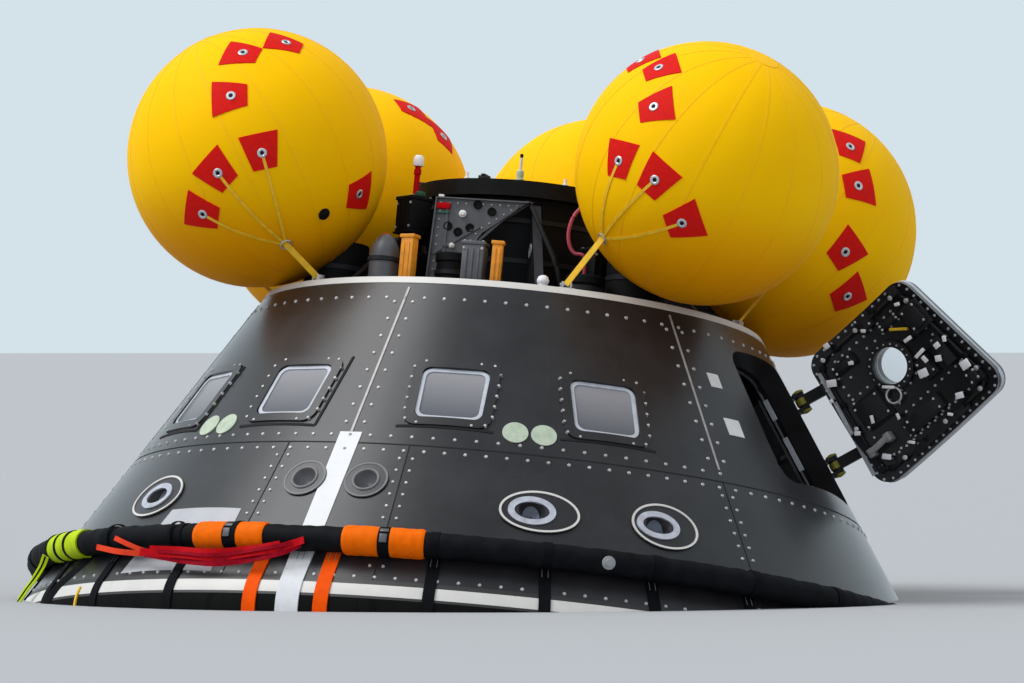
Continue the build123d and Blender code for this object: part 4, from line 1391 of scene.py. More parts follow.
# %% Lime sleeve, pull handle and valve
LIME_MIDDLE = -42.0
shape = collar_skin(LIME_MIDDLE - 4.8, LIME_MIDDLE + 4.8, 60, 24, lambda b, a: 0.0785 - 0.006 * crease(b * 1.9, a))
lime = piece("closing_sleeve", [shape], LIME, smooth=60)
spots = ((46, 556, 2.497), (42, 567, 2.500), (34, 580, 2.520), (26, 591, 2.540), (18, 603, 2.560), (14, 610, 2.565))
line = smooth_line([meets_cylinder(x, y, radius) for x, y, radius in spots])
up = (view_out + UP * 0.8).normalized()
piece("pull_handle", [sweep(line, up, flat_section(0.040, 0.0, 0.006))], LIME)
piece("pull_handle_edge", [sweep(line, up, flat_section(0.010, 0.005, 0.008))], WEB_BLACK)
piece("closing_bands", [collar_band(LIME_MIDDLE + s, 0.024, 0.0765, 0.003) for s in (-4.6, -1.6, 1.4)], WEB_BLACK)
spots = list(zip(spaced(-36.5, -45.0, 18), spaced(0.315, -0.050, 18)))
line = [(at(b, edge_radius(h) + 0.004, h), level_out(b)) for b, h in spots]
piece("closing_strap", [trim(line, flat_section(0.062, -0.002, 0.005))], WEB_BLACK)
small = bearing_of(meets_cylinder(77, 596, 2.51))
piece("marker_strap", [down_strap(small, 0.018, STRAP_THICK, 0.105, -0.02)], YELLOW_WEB)
spot = meets_cylinder(609, 563, COLLAR_ORBIT + COLLAR_RADIUS)
facing = tube_out(bearing_of(spot), spot)
middle = at(bearing_of(spot), COLLAR_ORBIT, COLLAR_HEIGHT) + facing * (COLLAR_RADIUS - 0.004)
TOP_UP = [(0.036, 0.0), (0.034, 0.008), (0.022, 0.011), (0.020, 0.020), (0.001, 0.021)]
piece("collar_valve", [spun(TOP_UP, middle, facing, 24)], PALE_GREY)
print("collar pieces done")

# %% [markdown]
# ## Boxes of the forward bay
#
# The bay behind the top ring held the parachutes. What is left in it are boxes, mortars and cables, nearly all
# black. A box is a folded case: a body with rounded edges, a lid with a rim, a foot plate, and ribs pressed into
# its front. All but the amber ones have screws in the corners of their front and lid. The two amber ones are soft
# covers over the risers' cutters.

# %% Boxes
RIM_INNER = 1.2001
TUNNEL_OUTER, TUNNEL_INNER, RING_OUTER = 0.5201, 0.4201, 0.5901
RING_HIGH = 2.587
SCREW = [(0.0075, -0.002), (0.0075, 0.003), (0.0045, 0.005), (0.001, 0.005)]


def box_case(bearing, distance, width, depth, low, high, ribs=3):
    """A case that stands in the bay: body, lid, foot plate and ribs."""
    axes = level_axes(bearing)
    middle = at(bearing, distance, (low + high) / 2)
    tall = high - low
    front = middle + axes[1] * (depth / 2 - 0.006)
    shapes = [block(middle, (width - 0.012, depth - 0.012, tall - 0.006), axes, 0.008)]
    shapes.append(block(middle + UP * (tall / 2 - 0.014), (width, depth, 0.020), axes, 0.004))
    shapes.append(block(middle - UP * (tall / 2 - 0.006), (width, depth, 0.012), axes, 0.003))
    for i in range(ribs):
        x = width * ((i + 1) / (ribs + 1) - 0.5)
        shapes.append(block(front + axes[0] * x, (0.012, 0.010, tall * 0.72), axes, 0.004))
    return shapes


def box_screws(bearing, distance, width, depth, low, high):
    """Screws in the corners of a case's front and lid."""
    axes = level_axes(bearing)
    middle = at(bearing, distance, (low + high) / 2)
    spots = []
    for x in (-width / 2 + 0.016, width / 2 - 0.016):
        for z in (low + 0.035, high - 0.045):
            spot = middle + axes[0] * x + axes[1] * (depth / 2 - 0.006) + UP * (z - (low + high) / 2)
            spots.append(spun(SCREW, spot, axes[1], 10))
        for y in (-depth / 2 + 0.016, depth / 2 - 0.016):
            top = middle + axes[0] * x + axes[1] * y + UP * ((high - low) / 2 - 0.004)
            spots.append(spun(SCREW, top, UP, 10))
    return spots


AMBER_BOXES = (
    (-9, RIM_INNER - 0.120, 0.090, 0.070, 1.85, 2.19),
    (17.7, RIM_INNER - 0.120, 0.070, 0.060, 1.85, 2.17),
)
GREY_BOX = (11, RIM_INNER - 0.140, 0.130, 0.120, 1.85, 2.16)
DARK_BOXES = [
    *((b, RIM_INNER - 0.460, 0.200, 0.150, 1.85, 2.25 if b == 60 else 2.20) for b in (60, 120, 180, 240, 300)),
    (-30, TUNNEL_OUTER + 0.207, 0.150, 0.150, 2.263, 2.470),
]
cases = [shape for row in AMBER_BOXES for shape in box_case(*row, ribs=2)]
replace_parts(piece("amber_boxes", cases, AMBER), "bay_boxes")
piece("grey_box", box_case(*GREY_BOX), GREY)
piece("dark_boxes", [shape for row in DARK_BOXES for shape in box_case(*row)], DARK)
piece("box_screws", [shape for row in (GREY_BOX, *DARK_BOXES) for shape in box_screws(*row)], BOLT)

# %% [markdown]
# ## Mortars and cans
#
# A mortar is a thick tube closed by a light lid, which throws a drogue parachute clear. The tubes are turned:
# a flange at the foot, a plain wall, a clamp band and the open lip with what is left of its lid. The grey one at
# the left has a red band.

# %% Mortars
CAN = (-18, RIM_INNER - 0.130, 0.092, 0.346)
MORTARS = ((45, RIM_INNER - 0.200, 0.110, 0.190), (0, RIM_INNER - 0.340, 0.100, 0.270))
tubes, clamps, cans = [], [], []
for bearing, distance, radius, tall in (CAN, *MORTARS):
    foot = at(bearing, distance, RIM_LOW)
    profile = [(0.001, 0.0), (radius, 0.0), (radius, 0.014), (radius - 0.012, 0.018)]
    if bearing == CAN[0]:
        profile += [
            (radius - 0.012, tall - 0.110), (radius - 0.020, tall - 0.070), (radius - 0.042, tall - 0.028),
            (radius - 0.068, tall - 0.006), (0.001, tall),
        ]
    else:
        profile += [
            (radius - 0.012, tall - 0.05), (radius - 0.004, tall - 0.044), (radius - 0.004, tall - 0.004),
            (radius - 0.010, tall), (radius - 0.020, tall), (radius - 0.022, tall - 0.014), (0.001, tall - 0.020),
        ]
    (cans if bearing == CAN[0] else tubes).append(spun(profile, foot, UP, 40))
    rise = tall * 0.55
    clamp = [(radius - 0.013, rise), (radius - 0.003, rise + 0.003), (radius - 0.003, rise + 0.025),
             (radius - 0.013, rise + 0.028)]
    clamps.append(ring(clamp, foot, UP, 40))
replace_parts(piece("mortar_tubes", tubes, DARK), "bay_mortars")
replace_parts(piece("grey_canister", cans, GREY), "bay_mortars")
piece("mortar_clamps", clamps, GUNMETAL)
bearing, distance, radius, tall = CAN
foot = at(bearing, distance, RIM_LOW)
side = across(bearing - 38)
path, line = [], []
for out, rise in (
    (0.080, 0.020), (0.0805, tall - 0.112), (0.073, tall - 0.070), (0.051, tall - 0.027), (0.025, tall - 0.004),
    (0.0, tall + 0.001),
):
    path.append(foot - side * out + UP * rise)
for i in range(len(path)):
    along = path[min(i + 1, len(path) - 1)] - path[max(i - 1, 0)]
    line.append((path[i], along.cross(side.cross(UP)).normalized()))
band = [(radius - 0.012, 0.020), (radius + 0.001, 0.023), (radius + 0.001, 0.048), (radius - 0.012, 0.051)]
shapes = [ring(band, foot, UP, 40), trim(line, flat_section(0.034, -0.003, 0.003))]
piece("canister_bands", shapes, ORANGE_RED)

# %% [markdown]
# ## The bracket plate
#
# A grey plate in front of the tunnel carries small instruments. Its edge is folded forwards as a stiffening
# flange, with rivets along it. A blank red plate, a small white lamp and two white plugs are fixed on it, where
# the photograph shows them.

# %% Bracket plate
PLATE_BEARING, PLATE_FACE = 14, TUNNEL_OUTER + 0.125
PLATE = ((-0.390, 0), (-0.197, 0), (-0.197, 0.273), (-0.098, 0.424), (0.160, 0.610), (-0.368, 0.610))
plate_out = level_out(PLATE_BEARING)
plate_origin = at(PLATE_BEARING, PLATE_FACE, RIM_LOW)
plate_axes = (across(PLATE_BEARING), UP, plate_out)


def on_plate(x, rise):
    """A point of the plate's face."""
    return plate_origin + plate_axes[0] * x + UP * rise


def seen_on_plate(x, y, lift=0.0):
    """Where a pixel of the photograph falls on the plate."""
    return meets_plane(x, y, plate_origin, plate_out) + plate_out * lift


def shrunk(corners, inset):
    """Corners of a flat outline moved inwards."""
    moved = []
    for i, (x, y) in enumerate(corners):
        before, after = Vector(corners[i - 1]), Vector(corners[(i + 1) % len(corners)])
        here = Vector((x, y))
        a, b = (here - before).normalized(), (after - here).normalized()
        inner = Vector((-a.y - b.y, a.x + b.x)).normalized()
        moved.append(here + inner * inset / max(0.35, sqrt((1 + a.dot(b)) / 2)))
    return moved


flange = [on_plate(x, y) for x, y in shrunk(PLATE, 0.006)]
shapes = [sweep(flange, plate_out, flat_section(0.010, -0.002, 0.022), closed=True)]
for x0, y0, x1, y1 in ((-0.36, 0.30, -0.12, 0.46), (-0.30, 0.02, -0.30, 0.58), (-0.20, 0.30, 0.08, 0.58)):
    shapes.append(sweep([on_plate(x0, y0), on_plate(x1, y1)], plate_out, flat_section(0.014, -0.002, 0.010)))
piece("plate_flange", shapes, GREY)
loop = [on_plate(x, y) for x, y in shrunk(PLATE, 0.030)]
bolt_rows("plate_rivets", [[(p, plate_out) for p in loop + loop[:1]]], 0.045, 0.006, 0.005)
label = seen_on_plate(444, 206, 0.010)
piece("red_plate", [block(label, (0.074, 0.034, 0.020), plate_axes, 0.005)], RED_WEB)
piece("green_plate", [block(label - UP * 0.036, (0.066, 0.010, 0.012), plate_axes, 0.003)], GREEN)
LAMP = [(0.020, -0.002), (0.020, 0.014), (0.014, 0.016), (0.014, 0.022), (0.010, 0.026), (0.001, 0.027)]
PLUG = [(0.015, -0.002), (0.015, 0.018), (0.011, 0.020), (0.011, 0.034), (0.008, 0.036), (0.001, 0.036)]
shapes = [spun(LAMP, seen_on_plate(463, 214), plate_out, 24)]
shapes += [spun(PLUG, seen_on_plate(x, y), plate_out, 16) for x, y in ((452, 246), (449, 264))]
shapes.append(block(seen_on_plate(442, 196, 0.010), (0.030, 0.014, 0.020), plate_axes, 0.004))
piece("plate_lamp_and_plugs", shapes, LENS)
SOCKET = [(0.024, -0.002), (0.024, 0.010), (0.018, 0.012), (0.016, 0.006), (0.001, 0.006)]
SOCKET_SPOTS = ((478, 205), (492, 212), (470, 228), (458, 232), (448, 226))
piece("plate_sockets", [spun(SOCKET, seen_on_plate(x, y), plate_out, 20) for x, y in SOCKET_SPOTS], DARK)

# %% [markdown]
# ## Gussets, tunnel and docking ring
#
# The gussets carry the pull of the main parachutes, so their sloping edges have broad flanges and their lifting
# holes have collars. The one beside the beacon's box is cut short and has none. Bands run round the tunnel. The
# docking ring has two seals and six small latches between its bolt holes.

# %% Flanges, collars, bands and latches
GUSSETS, SHORT_GUSSET = (30, 90, 150, 210, 270, 330), 330
HOLE_COLLAR = [(0.0255, -0.001), (0.040, -0.001), (0.040, 0.006), (0.0255, 0.006)]
flanges, collars = [], []
for bearing in GUSSETS:
    path = [at(bearing, RING_OUTER + 0.004, 2.449), at(bearing, 1.149, 1.8995)]
    if bearing == SHORT_GUSSET:
        path[0] = path[0].lerp(path[1], 0.40)
    up = (level_out(bearing) * 0.55 + UP * 0.56).normalized()
    flanges.append(sweep(path, up, flat_section(0.048, -0.001, 0.006)))
    for side in () if bearing == SHORT_GUSSET else (-1, 1):
        spot = at(bearing, TUNNEL_OUTER + 0.120, RIM_LOW + 0.350) + across(bearing) * (side * 0.0125)
        collars.append(ring(HOLE_COLLAR, spot, across(bearing) * side, 24))
piece("gusset_flanges", flanges, GUNMETAL)
piece("gusset_collars", collars, SILVER)


def band_profile(inner, outer, half, edge):
    """The profile of a band round a tube, with its edges taken off."""
    return [(inner, -half), (outer, -edge), (outer, edge), (inner, half)]


band = band_profile(TUNNEL_OUTER - 0.001, TUNNEL_OUTER + 0.006, 0.014, 0.012)
piece("tunnel_bands", [ring(band, at(0, 0, height), UP, 72) for height in (1.93, 2.16, 2.38)], GUNMETAL)
latches, seals = [], []
for bearing in range(0, 360, 60):
    latches.append(block(at(bearing, 0.560, RING_HIGH + 0.009), (0.060, 0.040, 0.020), level_axes(bearing), 0.005))
    latches.append(block(at(bearing, 0.560, RING_HIGH + 0.022), (0.024, 0.050, 0.010), level_axes(bearing), 0.003))
piece("ring_latches", latches, GUNMETAL)
for radius in (0.445, 0.520):
    profile = [(radius - 0.006, -0.001), (radius - 0.004, 0.004), (radius + 0.004, 0.004), (radius + 0.006, -0.001)]
    seals.append(ring(profile, at(0, 0, RING_HIGH), UP, 96))
piece("ring_seals", seals, WEB_BLACK)
ribs = [block(at(b, 0.86, RIM_LOW + 0.008), (0.018, 0.64, 0.016), level_axes(b), 0.004) for b in range(15, 375, 30)]
piece("deck_ribs", ribs, DARK)
band = band_profile(0.169, 0.174, 0.015, 0.012)
can_bands = [ring(band, at(b, RIM_INNER - 0.190, height), UP, 40) for b in BAGS.values() for height in (1.90, 2.06)]
piece("bag_can_bands", can_bands, GUNMETAL)

# %% [markdown]
# ## Beacon, antenna, lamps and pipes
#
# After splashdown a flashing beacon and a whip antenna show where the capsule is. The beacon is a milky dome on
# a red stem, and the antenna is a thin white rod with a black tip in a pale socket. A small white lamp stands on
# the top ring. Stiff pipes, one of them pink, lead down to the deck.

# %% Beacon, antenna, ring lamp and pipes
LAMP_FOOT = at(-30, TUNNEL_OUTER + 0.207, 2.470)
STEM = [
    (0.024, 0.0), (0.024, 0.008), (0.0155, 0.012), (0.0155, 0.120), (0.020, 0.124), (0.020, 0.150), (0.0155, 0.154),
    (0.0155, 0.170), (0.001, 0.172),
]
DOME = [
    (0.001, 0.166), (0.026, 0.168), (0.029, 0.176), (0.0295, 0.200), (0.026, 0.218), (0.017, 0.227), (0.001, 0.230)
]
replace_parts(piece("beacon_stem", [spun(STEM, LAMP_FOOT, UP, 24)], RED_WEB), "beacon_lamp")
piece("beacon_dome", [spun(DOME, LAMP_FOOT, UP, 32)], LENS, smooth=50)
socket = block(LAMP_FOOT + across(-30) * 0.045 + UP * 0.012, (0.034, 0.050, 0.026), level_axes(-30), 0.005)
piece("beacon_socket", [socket], GREEN)
ANTENNA_FOOT = at(20, (TUNNEL_OUTER + RING_OUTER) / 2, RING_HIGH)
BASE = [(0.024, 0.0), (0.024, 0.010), (0.017, 0.014), (0.020, 0.030), (0.020, 0.050), (0.012, 0.062), (0.001, 0.064)]
ROD = [(0.001, 0.058), (0.0085, 0.060), (0.0080, 0.128), (0.001, 0.130)]
TIP = [(0.001, 0.126), (0.0090, 0.127), (0.0090, 0.146), (0.001, 0.148)]
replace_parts(piece("antenna_base", [spun(BASE, ANTENNA_FOOT, UP, 24)], COVER), "whip_antenna")
piece("antenna_rod", [spun(ROD, ANTENNA_FOOT, UP, 16)], WHITE)
piece("antenna_tip", [spun(TIP, ANTENNA_FOOT, UP, 16)], WEB_BLACK)
RING_LAMP = [
    (0.030, 0.0), (0.030, 0.008), (0.024, 0.010), (0.032, 0.026), (0.033, 0.038), (0.026, 0.056), (0.012, 0.064),
    (0.001, 0.065),
]
piece("ring_lamp", [spun(RING_LAMP, at(30, 1.27, RIM_HIGH), UP, 28)], LENS, smooth=50)
STUB = [(0.016, 0.0), (0.016, 0.006), (0.009, 0.010), (0.009, 0.034), (0.001, 0.036)]
piece("ring_stubs", [spun(STUB, at(b, 0.575, RING_HIGH), UP, 16) for b in (-10, 45, 78)], LENS)
FRONT_PIPE = (
    (24, 0.560, 2.470), (27, 0.66, 2.44), (31, 0.80, 2.30), (36, 0.92, 2.10), (38, 0.97, 1.93), (38, 0.98, 1.852)
)
pipes = [pipe(smooth_line([at(*spot) for spot in FRONT_PIPE]), 0.013)]
for bearing, reach in ((75, 0.95), (105, 0.90), (165, 0.95), (200, 0.90), (255, 0.92), (285, 0.95), (-45, 0.93)):
    spots = (
        (bearing, TUNNEL_OUTER, 2.30), (bearing, TUNNEL_OUTER + 0.06, 2.30), (bearing + 3, 0.72, 2.16),
        (bearing + 4, reach - 0.04, 1.98), (bearing + 4, reach, 1.852),
    )
    pipes.append(pipe(smooth_line([at(*spot) for spot in spots]), 0.011))
piece("bay_pipes", pipes, DARK, smooth=60)
PINK_AT = at(43, 0.93, 2.1)
PINK_SPOTS = ((584, 205), (574, 216), (569, 230), (569, 243), (574, 253), (584, 257))
spots = [meets_plane(x, y, PINK_AT, view_out) for x, y in PINK_SPOTS]
spots = [spots[0] - view_out * 0.10] + spots + [at(46, 0.93, 2.045)]
piece("pink_pipe", [pipe(smooth_line(spots), 0.010)], PINK, smooth=60)
print("bay done")

# %% [markdown]
# ## The docking hatch
#
# The lid of the tunnel is a shallow round pan. Ribs run from a hub to its rim, eight dogs hold it down, and a
# small pressure valve sits beside the hub. All of it rides on the lid's own body, so that it opens with it.

# %% Lid details
LID_TOP = RING_HIGH + 0.010
LID_RADIUS = TUNNEL_INNER - 0.012
shapes = []
for bearing in spaced(22.5, 337.5, 7):
    axes = level_axes(bearing)
    shapes.append(block(at(bearing, 0.225, LID_TOP + 0.004), (0.014, 0.29, 0.012), axes, 0.003))
    shapes.append(block(at(bearing, LID_RADIUS - 0.030, LID_TOP + 0.006), (0.050, 0.038, 0.016), axes, 0.004))
HUB_CAP = [(0.085, -0.001), (0.085, 0.006), (0.070, 0.012), (0.034, 0.012), (0.030, 0.020), (0.001, 0.021)]
shapes.append(spun(HUB_CAP, at(0, 0, LID_TOP), UP, 40))
section = ((0.012, -0.001), (0.010, 0.005), (0.002, 0.005), (0.001, -0.001))
rim = [(LID_RADIUS - inset, rise) for inset, rise in section]
shapes.append(ring(rim, at(0, 0, LID_TOP), UP, 96))
shapes.append(spun(PLUG, at(45, 0.15, LID_TOP), UP, 16))
piece("lid_ribs", shapes, GREY, body="docking_hatch")

# %% [markdown]
# ## The open hatch
#
# The side hatch hangs open on two arms. Its inner face is black and crowded: a latch rod runs round near the
# edge and drives a roller at every latch, gearboxes and covers stand between, and bright fasteners dot the lot.
# We draw everything on the closed hatch, pressed against its inner face, and then turn it about the hinge.

# %% Places on the hatch
HATCH_LOW, HATCH_HIGH, HATCH_HALF_ANGLE = 1.040, 1.745, 14.7
HATCH_MIDDLE = (HATCH_LOW + HATCH_HIGH) / 2
HATCH_RISE = (HATCH_HIGH - HATCH_LOW) / 2 / cos(SLOPE)
HALF_TOP = hull_radius(HATCH_HIGH) * sin(radians(HATCH_HALF_ANGLE))
HALF_FOOT = hull_radius(HATCH_LOW) * sin(radians(HATCH_HALF_ANGLE))
WALL = 0.110
HINGE_BEARING, HINGE_LIFT, OPEN_ANGLE = 110.5, 0.042, 82
HINGE = on_cone(HINGE_BEARING, HATCH_MIDDLE, HINGE_LIFT)
HINGE_AXIS = upslope(HINGE_BEARING)
OPENING = Matrix.Rotation(radians(OPEN_ANGLE), 4, HINGE_AXIS)
SWING = Matrix.Translation(HINGE) @ OPENING @ Matrix.Translation(-HINGE)


def closed_spot(x, y, depth):
    """A point of the closed hatch, that far inside its outer skin, and the outward direction there."""
    skin = on_face(90, HATCH_MIDDLE, x, y)
    out = outward(bearing_of(skin))
    return skin - outward(90) * (depth / out.dot(outward(90))), out


def hatch_piece(name, shapes, material, smooth=30):
    """A piece that was drawn on the closed hatch, turned to the open one, where it rides."""
    turned = [([SWING @ Vector(p) for p in points], faces) for points, faces in shapes]
    return piece(name, turned, material, "side_hatch", smooth)


def hatch_wire(spots, depth, side=-1):
    """A wire over the open hatch, for the bolt tree. Side 1 faces out of the hull, -1 into the cabin."""
    wire = [closed_spot(x, y, depth) for x, y in spots]
    return [(SWING @ spot, SWING.to_3x3() @ (out * side)) for spot, out in wire]


def hatch_block(x, y, width, tall, low, high, bevel=0.005, turn=0.0):
    """A block on the inner face, from low to high above it. turn is in degrees on the face."""
    spot, out = closed_spot(x, y, WALL + (low + high) / 2)
    side = across(bearing_of(spot))
    rise = out.cross(side)
    angle = radians(turn)
    first = side * cos(angle) + rise * sin(angle)
    return block(spot, (width, tall, high - low), (first, out.cross(first), out), bevel)


def seen_on_hatch(x, y):
    """Place on the inner face where a pixel of the photograph shows the open hatch."""
    spot, out = closed_spot(0, 0, WALL)
    hit = SWING.inverted() @ meets_plane(x, y, SWING @ spot, SWING.to_3x3() @ -out)
    return (hit - spot).dot(across(90)), (hit - spot).dot(upslope(90))


print("hatch half widths", round(HALF_TOP, 3), round(HALF_FOOT, 3))

# %% [markdown]
# ## Outlines on the hatch
#
# The rod, the seals and the rows of screws all follow the hatch's edge at some distance. So one function moves
# the outline inwards and rounds its corners, and a few more turn it into a line or a strip on the curved face.

# %% Lines and strips on the hatch
def hatch_line(spots, height):
    """Points over the inner face, each with the direction into the cabin."""
    return [(spot, -out) for spot, out in (closed_spot(x, y, WALL + height) for x, y in spots)]


def hatch_loop(inset, corner, steps=7):
    """The hatch's outline, moved inwards, with round corners, as (x, y)."""
    corners = [(-HALF_FOOT, -HATCH_RISE), (HALF_FOOT, -HATCH_RISE), (HALF_TOP, HATCH_RISE), (-HALF_TOP, HATCH_RISE)]
    corners = shrunk(corners, inset)
    spots = []
    for i, here in enumerate(corners):
        before = (corners[i - 1] - here).normalized()
        after = (corners[(i + 1) % 4] - here).normalized()
        reach = corner / tan(before.angle(after) / 2)
        a, b = here + before * reach, here + after * reach
        spots += [a.lerp(here, k / steps).lerp(here.lerp(b, k / steps), k / steps) for k in range(steps + 1)]
    return spots


def walked(spots, step=0.05):
    """The same closed outline with a point every few centimetres, so that it can follow the curved face."""
    dense = []
    for i, spot in enumerate(spots):
        after = spots[(i + 1) % len(spots)]
        parts = max(1, round((after - spot).length / step))
        dense += [spot.lerp(after, k / parts) for k in range(parts)]
    return dense


def hatch_strip(outline, depth, section, side):
    """A closed strip that stands on edge along an outline. With side 1 it faces the middle, with -1 away."""
    pairs = [closed_spot(x, y, depth) for x, y in outline]
    line = []
    for i, (spot, out) in enumerate(pairs):
        along = pairs[(i + 1) % len(pairs)][0] - pairs[i - 1][0]
        line.append((spot, out.cross(along).normalized() * side))
    return trim(line, section, closed=True)


print("points of the hatch's outline", len(walked(hatch_loop(0.0, 0.110))))

# %% [markdown]
# ## The hatch's finish
#
# Outside, the hatch wears the hull's own film, and everything behind that skin is black. One material does both:
# it turns the place on the open hatch back to the closed one and looks how far it lies from the cone's surface.

# %% Hatch finish
def hatch_skin():
    """The hull's finish on the outside of the hatch, black everywhere else."""
    material = satin_film("hatch_skin")
    tree = material.node_tree
    back = SWING.inverted()
    closed = add_node(tree, "ShaderNodeMapping", {
        "Vector": add_node(tree, "ShaderNodeTexCoord").outputs["Object"],
        "Location": back.to_translation(),
        "Rotation": back.to_euler(),
    })
    split = add_node(tree, "ShaderNodeSeparateXYZ", {"Vector": closed.outputs["Vector"]}).outputs
    x, y, z = split["X"], split["Y"], split["Z"]
    distance = maths(tree, "SQRT", maths(tree, "ADD", maths(tree, "MULTIPLY", x, x), maths(tree, "MULTIPLY", y, y)))
    reach = maths(tree, "MULTIPLY_ADD", z, -tan(SLOPE), hull_radius(1.0) + (1.0 - WATERLINE) * tan(SLOPE))
    inner = maths(tree, "LESS_THAN", maths(tree, "SUBTRACT", distance, reach), -0.035)
    overlay(material, inner, (0.006, 0.006, 0.007))
    return material


dress(hatch_skin(), "hatch_panel")
print("hatch panel dressed")

# %% [markdown]
# ## Latch rod, rollers and covers
#
# The rod is one loop with a roller and a bracket every few centimetres. The CAD blocks of the latch gear stay
# as they are and get small lids, knobs and handles here. The bright fasteners sit in rows made by the bolt tree.

# %% Hatch fittings
WINDOW_RISE = 0.080
dense = walked(hatch_loop(0.070, 0.085))
rod = trim(hatch_line(dense, 0.026), circle_section(0.008, 8), closed=True)
hatch_piece("latch_rod", [rod], GEAR_GREY, 60)
rollers, feet = [], []
for i in range(0, len(dense), 3):
    here, after = dense[i], dense[(i + 1) % len(dense)]
    angle = degrees(atan2(after.y - here.y, after.x - here.x))
    feet.append(hatch_block(here.x, here.y, 0.034, 0.030, -0.002, 0.034, 0.004, angle))
    if i % 2 == 0:
        spot, out = closed_spot(here.x, here.y, WALL + 0.030)
        rollers.append(spun([(0.014, 0.0), (0.014, 0.014), (0.009, 0.017), (0.001, 0.017)], spot, -out, 12))
hatch_piece("latch_feet", feet, DARK)
hatch_piece("latch_rollers", rollers, SILVER)
wires = []
for inset in (0.030, 0.118):
    wire = hatch_wire(walked(hatch_loop(inset, max(0.03, 0.110 - inset))), WALL)
    wires.append(wire + wire[:1])
FASTENER_ROWS = (
    (-0.27, 0.03, -0.12, 0.03), (-0.34, -0.16, 0.10, -0.16), (0.13, 0.08, 0.34, 0.08), (-0.20, 0.24, 0.05, 0.24),
    (0.16, -0.16, 0.16, -0.33), (-0.22, -0.29, 0.30, -0.29), (0.22, 0.18, 0.22, 0.34), (-0.08, -0.04, 0.10, -0.10),
)
for x0, y0, x1, y1 in FASTENER_ROWS:
    wires.append(hatch_wire(zip(spaced(x0, x1, 6), spaced(y0, y1, 6)), WALL))
wire = hatch_wire(walked(hatch_loop(0.032, 0.080)), 0.0, 1)
bolt_rows("hatch_outer_bolts", [wire + wire[:1]], 0.075, 0.0095, 0.006, body="side_hatch")
line = [closed_spot(x, y, 0.0) for x, y in oval_loop(0.122, 0.122, 40, y=WINDOW_RISE)]
hatch_piece("hatch_outer_rim", [trim(line, flat_section(0.034, -0.003, 0.005), closed=True)], GEAR_GREY, 50)
bolt_rows("hatch_fasteners", wires, 0.052, 0.0085, 0.007, material=SILVER, body="side_hatch")

GEAR_LIDS = (
    (-0.30, 0.18, 0.095, 0.130, 0.070), (-0.15, 0.262, 0.130, 0.028, 0.030), (-0.038, 0.35, 0.070, 0.070, 0.050),
    (0.236, -0.036, 0.165, 0.150, 0.025), (-0.16, -0.06, 0.070, 0.095, 0.045), (0.02, -0.24, 0.235, 0.068, 0.040),
    (0.20, 0.25, 0.125, 0.042, 0.045), (-0.354, -0.276, 0.060, 0.060, 0.075),
)
lids, knobs = [], []
for x, y, width, tall, depth in GEAR_LIDS:
    lids.append(hatch_block(x, y, width, tall, depth - 0.002, depth + 0.006, 0.003))
    for sx in (-0.42, 0.42):
        for sy in (-0.40, 0.40):
            spot, out = closed_spot(x + width * sx, y + tall * sy, WALL + depth + 0.005)
            knobs.append(spun(SCREW, spot, -out, 8))
hatch_piece("gear_lids", lids, GEAR_GREY)
hatch_piece("gear_screws", knobs, SILVER)

# %% [markdown]
# ## Handles, straps and marks of the hatch
#
# Silver plates, a ring handle, a yellow bar and a grey strut stand out on the black face in the photograph. A
# pale seal runs round the hatch's edge, and a ring of small screws holds the clear window.

# %% Handles, window rim and seal
SPECKS = (
    (925, 352, 0.070, 0.020, 0), (930, 358, 0.024, 0.040, 0), (928, 372, 0.055, 0.045, 20),
    (943, 344, 0.034, 0.030, 10), (944, 357, 0.036, 0.034, 35), (975, 360, 0.055, 0.048, 15),
    (965, 394, 0.045, 0.034, 30), (832, 345, 0.032, 0.030, 0), (838, 382, 0.055, 0.040, 25),
    (836, 402, 0.022, 0.020, 0), (863, 433, 0.034, 0.024, 30), (893, 455, 0.050, 0.030, 40),
    (893, 386, 0.070, 0.016, 40), (913, 338, 0.050, 0.020, 10), (878, 418, 0.018, 0.045, 20),
    (856, 362, 0.030, 0.020, 30), (903, 303, 0.030, 0.018, 30), (921, 311, 0.024, 0.024, 10),
    (958, 331, 0.020, 0.030, 40), (955, 413, 0.030, 0.016, 50), (917, 441, 0.034, 0.016, 45),
    (903, 415, 0.016, 0.034, 15), (868, 330, 0.026, 0.018, 40),
)
bright, posts = [], []
for px, py, width, tall, turn in SPECKS:
    x, y = seen_on_hatch(px, py)
    x = max(-0.36, min(0.36, x))
    bright.append(hatch_block(x, y, width, tall, 0.060, 0.074, 0.003, turn))
    posts.append(hatch_block(x, y, width * 0.6, tall * 0.6, -0.002, 0.062, 0.003, turn))
hatch_piece("hatch_plates", bright, LENS)
hatch_piece("plate_posts", posts, GEAR_GREY)
shapes = [hatch_block(-0.170, 0.195, 0.110, 0.016, 0.020, 0.036, 0.005, 40)]
for side in (-1, 1):
    x, y = -0.170 + side * 0.034, 0.195 + side * 0.0285
    shapes.append(hatch_block(x, y, 0.014, 0.014, -0.002, 0.024, 0.003, 40))
hatch_piece("yellow_handle", shapes, YELLOW_WEB)
ends = [(0.372, -0.215), seen_on_hatch(893, 436)]
shapes = [trim(hatch_line(ends, 0.082), circle_section(0.017))]
shapes += [hatch_block(x, y, 0.040, 0.050, -0.002, 0.086, 0.006) for x, y in ends]
hatch_piece("hatch_strut", shapes, STRUT)
line = hatch_line(oval_loop(0.042, 0.042, 28, 0.085, -0.055), 0.040)
shapes = [trim(line, circle_section(0.007, 8), closed=True)]
shapes += [hatch_block(0.085 + 0.042 * s, -0.055, 0.014, 0.014, -0.002, 0.042, 0.003) for s in (-1, 1)]
hatch_piece("ring_handle", shapes, SILVER, 60)
